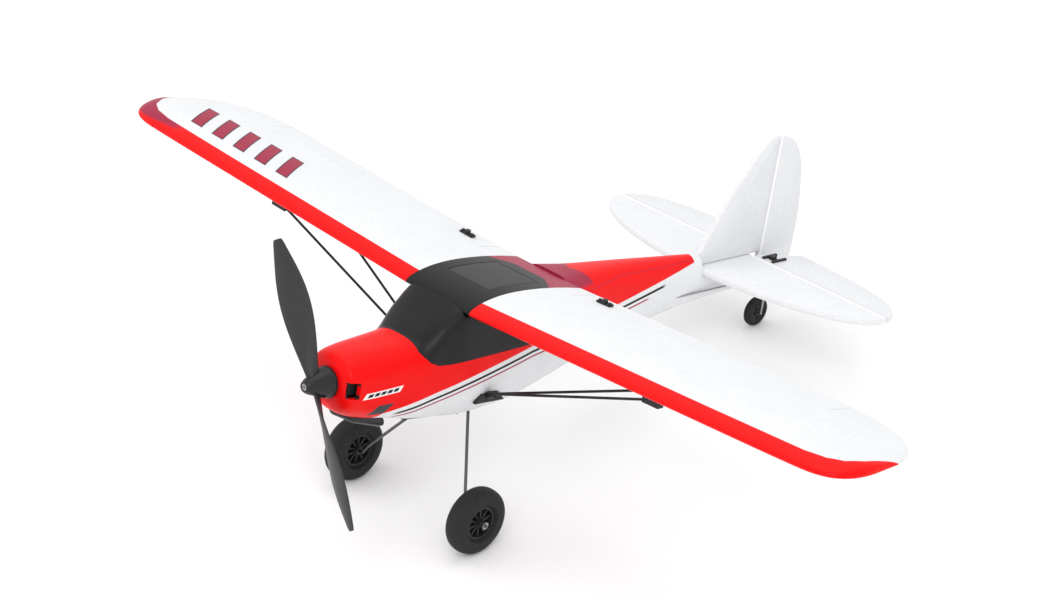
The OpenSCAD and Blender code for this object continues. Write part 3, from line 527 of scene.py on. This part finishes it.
def rubberFinish(name):
    kit = Finish(name)
    pores = kit.noise(0.35, 5.0)
    dust = kit.maths("MULTIPLY", kit.noise(2.2, 4.0) - 0.5, 1.6, clamp=True)
    colour = kit.mix(dust, (0.012, 0.012, 0.012), (0.03, 0.03, 0.03))
    return kit.done(Base_Color=colour, Roughness=0.62 + pores * 0.2,
                    Normal=kit.bump(pores, 0.05), Specular_IOR_Level=0.35)


def woodFinish(name):
    kit = Finish(name)
    grain = kit.noise(1.2, 5.0, 0.6, (1, 0.08, 1))
    colour = kit.mix(grain, (0.42, 0.26, 0.13), (0.68, 0.50, 0.30))
    return kit.done(Base_Color=colour, Roughness=0.6 + grain * 0.15,
                    Normal=kit.bump(grain, 0.04))


def wrapFinish(name):
    kit = Finish(name)
    wrinkle = kit.noise(2.5, 4.0, 0.6, (1, 0.3, 1))
    band = kit.within(kit.spot()["y"], 56, 74, 0.3)    # printed label
    colour = kit.mix(band, (0.25, 0.36, 0.52), (0.75, 0.76, 0.78))
    return kit.done(Base_Color=colour, Roughness=0.28 + wrinkle * 0.15,
                    Normal=kit.bump(wrinkle, 0.12))


def boardFinish(name):
    kit = Finish(name)
    tracks = kit.cells(1.4)
    mask = kit.above(0.12 - tracks, 0.08)
    colour = kit.mix(mask, (0.01, 0.13, 0.04), (0.08, 0.34, 0.12))
    return kit.done(Base_Color=colour, Roughness=0.35 + mask * 0.1,
                    Normal=kit.bump(mask, 0.03))


looks = {
    "blackPlastic": plasticFinish("blackPlastic", (0.022, 0.022, 0.023), 0.42),
    "propPlastic": plasticFinish("propellerPlastic", (0.034, 0.034, 0.036), 0.40, 0.8),
    "spinnerPlastic": plasticFinish("spinnerPlastic", (0.018, 0.018, 0.019), 0.30),
    "scoopPlastic": plasticFinish("scoopPlastic", (0.028, 0.028, 0.030), 0.24),
    "hatch": plasticFinish("hatchPanel", (0.042, 0.042, 0.043), 0.5, 0.5, 0.02),
    "strutBlack": plasticFinish("strutBlack", (0.012, 0.012, 0.012), 0.38, 0.3),
    "rubber": rubberFinish("tyreRubber"),
    "steel": metalFinish("springSteel", (0.40, 0.40, 0.41), 0.26),
    "wire": metalFinish("gearWire", (0.13, 0.13, 0.135), 0.32),
    "brass": metalFinish("turnedBrass", (0.72, 0.52, 0.22), 0.28),
    "nylon": plasticFinish("gearNylon", (0.78, 0.76, 0.68), 0.4),
    "armWhite": plasticFinish("armNylon", (0.80, 0.80, 0.78), 0.42),
    "servoCase": plasticFinish("servoCase", (0.03, 0.10, 0.36), 0.25),
    "wingServo": plasticFinish("wingServoCase", (0.02, 0.02, 0.022), 0.35),
    "wrap": wrapFinish("batteryWrap"),
    "board": boardFinish("boardMask"),
    "ply": woodFinish("trayPly"),
}
print("finishes ready:", len(bpy.data.materials))


body = {
    # behind the propeller, half width, height of the widest line, top, bottom,
    # squareness of the upper half, squareness of the lower half
    "stations": [
        (7.5, 8.8, 0, 8.6, -8.8, 2, 2), (8.1, 11.4, 0, 10.6, -10.8, 2.2, 2.2),
        (9.6, 13.6, 0, 12.0, -12.8, 2.4, 2.4),
        (14, 15.0, 0, 13.0, -15.2, 2.5, 2.5), (22, 15.9, 0, 13.9, -17.7, 2.5, 2.6),
        (34, 16.6, 0, 14.5, -19.8, 2.6, 2.8), (45, 17.3, 0, 15.0, -22.2, 2.8, 3.0),
        (57, 18.3, 9, 24.2, -24.4, 4.6, 3.1), (68, 19.2, 15, 31.0, -26.0, 5.6, 3.0),
        (84, 19.0, 13, 33.6, -27.2, 6.2, 3.1), (104, 18.6, 10, 33.0, -26.2, 5.4, 3.0),
        (134, 16.7, 7, 30.0, -19.6, 4.0, 2.8), (150, 14.9, 8, 28.9, -16.0, 2.8, 2.6),
        (178, 11.8, 9, 27.0, -10.2, 2.3, 2.5), (206, 8.9, 10, 24.4, -5.4, 2.1, 2.4),
        (236, 6.0, 10, 21.4, -2.4, 2.0, 2.4), (262, 3.9, 9, 17.6, -1.2, 2.0, 2.4),
        (280.3, 2.4, 8, 15.4, -0.6, 2.0, 2.4)],
    "wall": 2.4, "points": 88, "rows": 150, "crowding": 1.5, "intake": (10.5, 0.4, 2.5, 3.7),
    "seatZ": 12.05, "finFront": 236, "doorFront": 47, "doorRear": 79, "doorHalf": 8,
    "doorGap": 0.3, "doorSlack": 1.4,
}


# One row of the body between two stations, without overshoot.
def stationAt(rows, y):
    k = max(i for i in range(len(rows) - 1) if rows[i][0] <= y + 1e-9)
    a, b = rows[k], rows[k + 1]
    before, after = rows[max(k - 1, 0)], rows[min(k + 2, len(rows) - 1)]
    h = b[0] - a[0]
    t = (y - a[0]) / h
    row = [y]
    for c in range(1, len(a)):
        step = (b[c] - a[c]) / h
        left = (a[c] - before[c]) / (a[0] - before[0]) if k else step
        right = (after[c] - b[c]) / (after[0] - b[0]) if k + 2 < len(rows) else step

        def slope(p, q):
            return 0 if p * q <= 0 else 2 * p * q / (p + q)
        m0, m1 = slope(left, step), slope(step, right)
        row.append((2 * t ** 3 - 3 * t ** 2 + 1) * a[c] + (t ** 3 - 2 * t ** 2 + t) * h * m0
                   + (3 * t ** 2 - 2 * t ** 3) * b[c] + (t ** 3 - t ** 2) * h * m1)
    return row


def bodyRing(row, inset):
    y, half, mid, top, bottom, upper, lower = row
    ring = []
    for a in turnsOf(body["points"]):
        power = 2 / (upper if math.sin(a) >= 0 else lower)
        high = (top - mid if math.sin(a) >= 0 else mid - bottom) - inset
        ring.append((math.copysign((half - inset) * abs(math.cos(a)) ** power, math.cos(a)),
                     y, mid + math.copysign(high * abs(math.sin(a)) ** power, math.sin(a))))
    return ring


# Upright cheek hole with rounded corners, as a plug from one side distance to another.
def intakeRings(x0, x1):
    y, z, halfWide, halfHigh = body["intake"]
    return [[(x, y + halfWide * math.copysign(abs(math.cos(a)) ** 0.6, math.cos(a)),
              z + halfHigh * math.copysign(abs(math.sin(a)) ** 0.6, math.sin(a)))
             for a in turnsOf(48)] for x in (x0, x1)]


first, last = body["stations"][0][0], body["stations"][-1][0]
rows = [stationAt(body["stations"],
                  first + (last - first) * (k / body["rows"]) ** body["crowding"])
        for k in range(body["rows"] + 1)]
bodyShell = shellRings([bodyRing(r, 0) for r in rows],
                       [bodyRing(r, min(body["wall"], r[1] * 0.55)) for r in rows])
roofLow = wing["rootZ"] - wing["seat"]
cuts = [block((-30, wing["front"] - 0.2, roofLow),
              (30, wing["front"] + wing["chord"] + 0.4, 60)),
        skinRings(intakeRings(9, 21)), skinRings(intakeRings(-21, -9)),
        block((-body["doorHalf"] - body["doorGap"], body["doorFront"] - body["doorGap"], -35),
              (body["doorHalf"] + body["doorGap"], body["doorRear"] + body["doorSlack"], -13)),
        block((-20, body["finFront"], body["seatZ"]), (20, 296, 40))]
bodySkin = carve("bodySkin", bodyShell, [("DIFFERENCE", c) for c in cuts])
dress(bodySkin, "airframe", foamBody, ("fuselage_left", "fuselage_right"), 30)
print("body skin:", len(bodySkin.data.polygons), "faces")


# Height of the wing section's middle line, as a share of the chord.
def camber(s):
    return 0.1875 * (0.8 * s - s * s) if s < 0.4 else 0.0833 * (0.2 + 0.8 * s - s * s)


# Half of the wing section's thickness, as a share of the chord.
def halfThick(s):
    return 0.525 * (0.2969 * math.sqrt(s) - 0.126 * s - 0.3516 * s * s + 0.2843 * s ** 3
                    - 0.1015 * s ** 4) + 0.006 * s


# Share of the full width left at x, where the edge curves in from start to the tip.
def tipEdge(x, start, power):
    if x <= start:
        return 1
    return max(0, 1 - ((x - start) / (wing["tipX"] - start)) ** power) ** (1 / power)


def foilRing(x):
    lead = wing["front"] + wing["tipMid"] * (1 - tipEdge(x, wing["noseFrom"], 3))
    trail = (wing["front"] + wing["tipMid"]
             + (wing["chord"] - wing["tipMid"]) * tipEdge(x, wing["tailFrom"], 2.5))
    chord = max(1.2, trail - lead)
    front = min(lead, wing["front"] + wing["tipMid"] - 0.6)
    fat = (chord / wing["chord"]) ** -0.25
    rise = (1 - chord / wing["chord"]) * wing["tipRise"]
    n = wing["steps"]
    spots = [(1 - math.cos(math.pi * i / n)) / 2 for i in range(n + 1)]
    upper = [(x, front + s * chord, chord * (camber(s) + fat * halfThick(s)) + rise)
             for s in spots]
    lower = [(x, front + s * chord, chord * (camber(s) - fat * halfThick(s)) + rise)
             for s in reversed(spots[1:])]
    return upper + lower


straight = [k * wing["gridStep"] for k in range(24)]
tipFrom = len(straight) * wing["gridStep"]
rounding = [wing["tipX"] - (wing["tipX"] - tipFrom)
            * (1 - math.sin(math.pi / 2 * k / wing["tipRings"]))
            for k in range(wing["tipRings"] + 1)]
wingRings = [foilRing(x) for x in straight + rounding]
hingeZ = wing["chord"] * camber(wing["hingeBack"] / wing["chord"])
noseR = wing["chord"] * halfThick(wing["hingeBack"] / wing["chord"]) - 0.05

hornX, hornBack, hornHole = wing["horn"]
for side, word in ((1, "left"), (-1, "right")):
    on = putOnWing(side)
    gap, hy = wing["gap"], wing["hingeY"]
    x0, x1 = wing["aileronIn"], wing["aileronOut"]
    panel = carve(word + "WingSkin", skinRings(wingRings, on), [
        ("DIFFERENCE", block((x0 - gap, hy, -20), (x1 + gap, hy + 60, 40), on)),
        ("DIFFERENCE", bar(x0 - gap, x1 + gap, hy, hingeZ, noseR + gap, on)),
        ("DIFFERENCE", block(*wing["servoBay"], on)),
        ("DIFFERENCE", block(*wing["armSlot"], on))])
    look = foamWingLeft if side > 0 else foamWingRight
    dress(panel, "airframe", look, ("wing_" + word,))
    hornRings = [[(hornX + hornHole * math.cos(a), hy + hornBack + hornHole * math.sin(a), z)
                  for a in turnsOf(16)] for z in (-8, 12)]
    flap = carve(word + "AileronSkin", skinRings(wingRings, on), [
        ("INTERSECT", block((x0, hy, -20), (x1, hy + 60, 40), on)),
        ("UNION", bar(x0, x1, hy, hingeZ, noseR, on)),
        ("DIFFERENCE", skinRings(hornRings, on))])
    dress(flap, "aileron_" + word, look, ("aileron_" + word,), bevel=0.2)
    print(word, "wing:", len(panel.data.polygons), "faces")

roofHalf = wing["rootX"] - wing["gap"]
roofRings = [[(x, p[1], p[2] + wing["rootZ"]) for p in foilRing(0)]
             for x in (-roofHalf, roofHalf)]
hatch = {"front": 83.3, "rear": 113.1, "half": 12.9, "top": wing["rootZ"] + 5.1, "fall": 1.9,
         "thick": 1.2, "bed": 1.6, "gap": 0.3, "over": 9, "bayHalf": 10.5,
         "bay": (6.5, 27.5)}


# A place in the hatch's own frame: its front edge is at y = 0 and its seat at z = 0.
def hatchPlace(x, y, z):
    a = -math.atan(hatch["fall"] / (hatch["rear"] - hatch["front"]))
    return put(x, hatch["front"] + y * math.cos(a) - z * math.sin(a),
               hatch["top"] + y * math.sin(a) + z * math.cos(a))


long = hatch["rear"] - hatch["front"]
bayFront, bayRear = (hatch["front"] + d for d in hatch["bay"])
roof = carve("cabinRoof", skinRings(roofRings), [
    ("INTERSECT", block((-30, 0, roofLow), (30, 200, 60))),
    ("DIFFERENCE", block((-hatch["half"] - hatch["gap"], -hatch["gap"], -hatch["bed"]),
                         (hatch["half"] + hatch["gap"], long + hatch["gap"], hatch["over"]),
                         hatchPlace)),
    ("DIFFERENCE", block((-hatch["bayHalf"], bayFront, 20), (hatch["bayHalf"], bayRear, 60)))])
dress(roof, "airframe", foamRoof, ("cabin_roof",))
hatchPanel = carve("hatchPanel", skinRings(roofRings), [
    ("INTERSECT", block((-hatch["half"], 0, -hatch["thick"]),
                        (hatch["half"], long, hatch["over"]), hatchPlace))])
dress(hatchPanel, "roof_hatch", looks["hatch"], ("roof_hatch",), bevel=0.22)
print("roof ready")


tail = {"half": 86, "z": 13.8, "thick": 3.5, "hingeY": 275, "midY": 273, "points": 64,
        "frontDepth": 37, "rearDepth": 28, "rudderY": 283, "finThick": 3.2, "round": 1.15,
        "finRound": 1.2, "seam": 0.06, "foot": 8.4, "top": 75.2, "inner": 3.6,
        "notch": ((3.6, 260), (3.6, 279), (19.1, 310)), "tipInset": 1.2, "rimStep": 1.6}


def tailEdge(x, depth, power):
    return depth * max(0, 1 - (abs(x) / tail["half"]) ** power) ** (1 / power)


# Flat foam plate from an outline, with softly rounded rims.
def plate(outline, thick, where, rim):
    n = len(outline)
    levels = [(-thick / 2, rim), (-thick / 2 + rim * 0.3, rim * 0.3), (-thick / 2 + rim, 0),
              (thick / 2 - rim, 0), (thick / 2 - rim * 0.3, rim * 0.3), (thick / 2, rim)]
    middle = Vector((sum(p[0] for p in outline) / n, sum(p[1] for p in outline) / n))
    rings = []
    for level, inset in levels:
        ring = []
        for i, p in enumerate(outline):
            back, ahead = Vector(outline[i - 1]), Vector(outline[(i + 1) % n])
            along = (ahead - back).normalized()
            out = Vector((along.y, -along.x))
            if out.dot(Vector(p) - middle) < 0:
                out = -out
            q = Vector(p) - out * inset
            ring.append((q.x, q.y, level))
        rings.append(ring)
    return skinRings(rings, where)


def flat(x, y, c):
    return put(x, y, tail["z"] + c)


def upright(y, z, c):
    return put(c, y, z)


# Closed outline with more points along its straight edges.
def evenly(points):
    out = []
    for i, p in enumerate(points):
        q = points[(i + 1) % len(points)]
        steps = max(1, round(math.dist(p, q) / tail["rimStep"]))
        out += [(p[0] + (q[0] - p[0]) * k / steps, p[1] + (q[1] - p[1]) * k / steps)
                for k in range(steps)]
    return out


n = tail["points"]
across = [tail["half"] * math.sin(math.pi / 2 * k / n) for k in range(n + 1)]
front = [(x, tail["midY"] - tailEdge(x, tail["frontDepth"], 1.9)) for x in across]
rear = [(x, tail["midY"] + tailEdge(x, tail["rearDepth"], 2.8)) for x in reversed(across[:-1])]
outline = front + rear + [(-x, y) for x, y in reversed(rear[:-1])]
outline += [(-x, y) for x, y in reversed(front[1:-1])]
tailHigh = tail["thick"] / 2
elevatorNose = tailHigh - 0.05
hingeCut = elevatorNose + tail["seam"]
reach = tail["half"] - tail["tipInset"]
stab = carve("tailplaneSkin", plate(outline, tail["thick"], flat, tail["round"]), [
    ("DIFFERENCE", block((-100, tail["hingeY"], 0), (100, 330, 30))),
    ("DIFFERENCE", bar(-100, 100, tail["hingeY"], tail["z"], hingeCut, steps=64))])
dress(stab, "airframe", foamTail, ("stabiliser",), 40)

for side, word in ((1, "Left"), (-1, "Right")):
    inner, outer = sorted((side * tail["inner"], side * reach))
    cutAway = [(side * x, y) for x, y in ((-120, 260), *tail["notch"], (-120, 310))]
    wedge = skinRings([[(x, y, z) for x, y in cutAway] for z in (0, 30)])
    half = carve("elevatorSkin" + word,
                 plate(outline, 2 * elevatorNose, flat, tail["round"]), [
                     ("DIFFERENCE", block((-100, 200, 0), (100, tail["hingeY"], 30))),
                     ("UNION", bar(inner, outer, tail["hingeY"], tail["z"], elevatorNose,
                                   steps=64)),
                     ("DIFFERENCE", wedge)])
    dress(half, "elevator", foamTail, ("elevator",), 40)


def standing(a, b, c):
    return put(c, b, a)


finOutline = [(236.1, 15.6), (236.1, 21.4), (240.5, 28), (247.4, 40), (253, 48.6), (258.6, 56),
              (264.8, 64.4), (270.5, 71), (273.4, 73.5), (277, 74.8), (280.8, 75.3),
              (283, 75.4), (283, 15.6)]
finNose = tail["finThick"] / 2 - 0.05
fin = carve("finSkin", plate(evenly(finOutline), tail["finThick"], upright,
                             tail["finRound"]), [
    ("DIFFERENCE", bar(0, 90, tail["rudderY"], 0, finNose + tail["seam"], standing, 64))])
dress(fin, "airframe", foamTail, ("fin",), 40)
rudderOutline = [(283, 8.4), (305.6, 8.4), (306.6, 9.6), (307.0, 17), (307.2, 25), (307.0, 32),
                 (306.3, 38), (305.3, 44), (304.2, 50), (302.9, 55.4), (301.4, 60),
                 (299.6, 64.2), (297.2, 68), (294.6, 70.8), (291.4, 73), (287.5, 74.4),
                 (283, 75.2)]
rudder = carve("rudderSkin", plate(evenly(rudderOutline), 2 * finNose, upright,
                                   tail["finRound"]), [
    ("UNION", bar(tail["foot"], tail["top"], tail["rudderY"], 0, finNose, standing, 64))])
dress(rudder, "rudder", foamTail, ("rudder",), 40)
print("tail ready")


blade = {"radius": 63.5, "rest": 123, "steps": 44, "around": 28, "pitch": 15, "root": 3.2,
         "tip": 63, "chord": 5, "swell": 10, "blunt": 0.04, "thin": 0.5, "thick": 1.6,
         "camber": 0.05, "offset": 0.06}


# Section of a blade at this distance from the shaft, twisted by its pitch.
def bladeRing(r):
    u = r / blade["radius"]
    chord = blade["chord"] + blade["swell"] * math.sin(math.pi * u ** 1.23) ** 1.2
    tip = max(0, (u - 1) / blade["blunt"] + 1)
    chord *= math.sqrt(1 - tip ** 2 * 0.6)
    twist = math.atan(blade["pitch"] / (r + 4))
    thick = blade["thin"] + blade["thick"] * (1 - u)
    ring = []
    for a in turnsOf(blade["around"]):
        wide = chord * (0.5 * math.cos(a) + blade["offset"])
        deep = blade["camber"] * chord * math.sin(a) ** 2 + thick / 2 * math.sin(a)
        ring.append((r, wide * math.sin(twist) - deep * math.cos(twist),
                     -wide * math.cos(twist) - deep * math.sin(twist)))
    return ring


def spun(angle):
    a = math.radians(angle)
    return lambda x, y, z: put(x * math.cos(a) + z * math.sin(a), y,
                               -x * math.sin(a) + z * math.cos(a))


hubCore = turned([(0.78, 0.5), (4.0, 0.5), (4.4, 0.9), (4.4, 5.1), (4.0, 5.5),
                  (0.78, 5.5)], (0, 0, 0), (0, 1, 0), 48)
spread = [blade["root"] + (blade["tip"] - blade["root"]) * (1 - (1 - k / blade["steps"]) ** 1.5)
          for k in range(blade["steps"] + 1)]
prop = carve("propellerBlades", hubCore,
             [("UNION", skinRings([bladeRing(r) for r in spread], spun(turn - blade["rest"])))
              for turn in (0, 180)])
dress(prop, "propeller", looks["propPlastic"], ("propeller",), 50)

spin = {"radius": 7, "front": 5.9, "back": 7.2, "steps": 40,
        "slot": ((3, -2.9, -3), (12, 3.5, 2.4))}
profile = [(spin["radius"] - 1.0, spin["back"])]
profile += [(spin["radius"], spin["back"]), (spin["radius"], spin["back"] - 1.0),
            (spin["radius"] - 0.15, spin["back"] - 1.15)]
profile += [(2 + (spin["radius"] - 2) * t ** 0.7,
             -spin["front"] + (spin["front"] + spin["back"] - 1.3) * t)
            for t in [1 - k / spin["steps"] for k in range(spin["steps"] + 1)]]
profile += [(1.7, -spin["front"]), (1.7, -4.9), (0.8, -4.9), (0.8, 0.4), (4.5, 0.4),
            (4.5, spin["back"])]
cone = carve("spinnerCone", turned(profile, (0, 0, 0), (0, 1, 0)), [
    ("DIFFERENCE", block(*spin["slot"], spun(turn - blade["rest"])))
    for turn in (0, 180)])
dress(cone, "propeller", looks["spinnerPlastic"], ("spinner",), 35)
print("propeller ready")


wheel = {"radius": 15.4, "width": 10, "hub": 7.8, "tail": 7.5, "tailWidth": 4,
         "tailHub": 3.5}


def tyreProfile(r, w, bore):
    pts = []
    for k in range(41):
        a = math.pi * (k / 40 - 0.5)
        out = bore + 1.2 + (r - bore - 1.2) * abs(math.cos(a)) ** 0.62
        pts.append((out, w / 2 * math.copysign(abs(math.sin(a)) ** 0.8, math.sin(a))))
    grooved = [(out - (0.25 if 0.3 < abs(d) <= 0.5 else 0), d) for out, d in pts]
    return [(bore + 0.1, -w * 0.36)] + grooved + [(bore + 0.1, w * 0.36)]


def midOf(node):
    low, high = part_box(node)
    return (low + high) / 2


def localPoint(p):
    d = (Vector(p) - shaftPoint) / mm
    return (d.dot(acrossAxis), d.dot(aftAxis), d.dot(upAxis))


for word in ("left", "right"):
    at = localPoint(midOf("tyre_" + word))
    mesh = turned(tyreProfile(wheel["radius"], wheel["width"], wheel["hub"]), at, (1, 0, 0), 128)
    tyre = toObject(word + "Tyre", mesh)
    dress(tyre, "wheel_" + word, looks["rubber"], ("tyre_" + word,), 40)
at = localPoint(midOf("tail_tyre"))
small = toObject("tailTyre", turned(tyreProfile(wheel["tail"], wheel["tailWidth"],
                                                wheel["tailHub"]), at, (1, 0, 0), 96))
dress(small, "tail_wheel", looks["rubber"], ("tail_tyre",), 40)
print("tyres ready")


kept = {
    "blackPlastic": ["battery_door", "motor_mount", "elevator_horn", "rudder_horn",
                     "aileron_horn_left", "aileron_horn_right", "body_strut_brackets",
                     "wing_strut_brackets", "gear_clamp", "hub_left", "hub_right", "tail_hub"],
    "scoopPlastic": ["chin_scoop"],
    "strutBlack": ["wing_struts", "wing_joiner"],
    "steel": ["prop_shaft", "spinner_screw", "motor", "door_pin", "hatch_magnets",
              "elevator_joiner", "wheel_collars",
              "tail_gear_wire", "elevator_pushrod", "rudder_pushrod", "aileron_link_left",
              "aileron_link_right"],
    "wire": ["gear_leg_left", "gear_leg_right"],
    "brass": ["shaft_bushes", "pinion"],
    "nylon": ["spur_gear"],
    "armWhite": ["elevator_servo_arm", "rudder_servo_arm", "aileron_arm_left",
                 "aileron_arm_right"],
    "servoCase": ["elevator_servo", "rudder_servo"],
    "wingServo": ["aileron_servo_left", "aileron_servo_right"],
    "wrap": ["battery"], "board": ["receiver_board"], "ply": ["servo_tray"],
}
rounded = {"battery_door": 0.25, "elevator_horn": 0.12, "rudder_horn": 0.15,
           "aileron_horn_left": 0.15, "aileron_horn_right": 0.15, "gear_clamp": 0.3,
           "hub_left": 0.15, "hub_right": 0.15, "battery": 0.6,
           "elevator_servo": 0.3, "rudder_servo": 0.3, "servo_tray": 0.1,
           "aileron_servo_left": 0.3, "aileron_servo_right": 0.3, "tail_hub": 0.1}
keptEdge = {"weld": 0.002, "split": 34}
for key, names in kept.items():
    for name in names:
        node = frame["nodes"][name]
        node.data.materials.clear()
        node.data.materials.append(looks[key])
        for face in node.data.polygons:
            face.material_index = 0
            face.use_smooth = True
        if "custom_normal" in node.data.attributes:
            node.data.attributes.remove(node.data.attributes["custom_normal"])
        weld = node.modifiers.new("weld", "WELD")
        weld.merge_threshold = keptEdge["weld"] * mm
        if name in rounded:
            soften(node, rounded[name])
        else:
            split = node.modifiers.new("corners", "EDGE_SPLIT")
            split.split_angle = math.radians(keptEdge["split"])
print("fittings ready")


bpy.context.scene.view_settings.view_transform = "Standard"
studio = {"floor": 9.0, "shade": (0.97, 0.97, 0.97), "world": 0.96}
floorMesh = bmesh.new()
bmesh.ops.create_grid(floorMesh, x_segments=8, y_segments=8, size=studio["floor"])
floor = toObject("studioFloor", floorMesh)
floorKit = Finish("paleFloor")
floor.data.materials.append(floorKit.done(
    Base_Color=floorKit.mix(floorKit.noise(300), (0.95, 0.95, 0.95), studio["shade"]),
    Roughness=0.9))

world = bpy.data.worlds.new("studio")
bpy.context.scene.world = world
world.use_nodes = True
world.node_tree.nodes["Background"].inputs[0].default_value = (1, 1, 1, 1)
world.node_tree.nodes["Background"].inputs[1].default_value = studio["world"]

lamps = [
    # name, place in metres, size, watts
    ("key", (0.75, -0.9, 1.3), 0.9, 7),
    ("fill", (-1.1, -0.6, 0.8), 1.2, 2),
    ("top", (-0.2, 0.3, 1.6), 1.2, 4),
]
for name, place, size, watts in lamps:
    data = bpy.data.lights.new(name, "AREA")
    data.shape, data.size, data.energy = "DISK", size, watts
    lamp = bpy.data.objects.new(name, data)
    lamp.location = place
    lamp.rotation_mode = "QUATERNION"
    lamp.rotation_quaternion = (-Vector(place)).to_track_quat("-Z", "Y")
    bpy.context.scene.collection.objects.link(lamp)

eye = {"place": (785.27, -750.479, 477.259), "turn": 41.949, "lift": 21.344, "roll": 9.314,
       "lens": 96.385}
a, e, r = (math.radians(eye[k]) for k in ("turn", "lift", "roll"))
back = Vector((math.sin(a) * math.cos(e), -math.cos(a) * math.cos(e), math.sin(e)))
right = Vector((math.cos(a), math.sin(a), 0))
up = back.cross(right)
right, up = right * math.cos(r) + up * math.sin(r), up * math.cos(r) - right * math.sin(r)


def turnedToRow(v):
    return acrossAxis * v[0] + aftAxis * v[1] + upAxis * v[2]


camera = bpy.data.objects.new("camera", bpy.data.cameras.new("camera"))
camera.data.lens, camera.data.sensor_width = eye["lens"], 36
camera.data.clip_start, camera.data.clip_end = 0.05, 60
columns = [turnedToRow(v) for v in (right, up, back)]
camera.matrix_world = (Matrix.Translation(put(*eye["place"]))
                       @ Matrix([[c[i] for c in columns] for i in range(3)]).to_4x4())
bpy.context.scene.collection.objects.link(camera)
bpy.context.scene.camera = camera
bpy.context.view_layer.update()

print("scene ready")
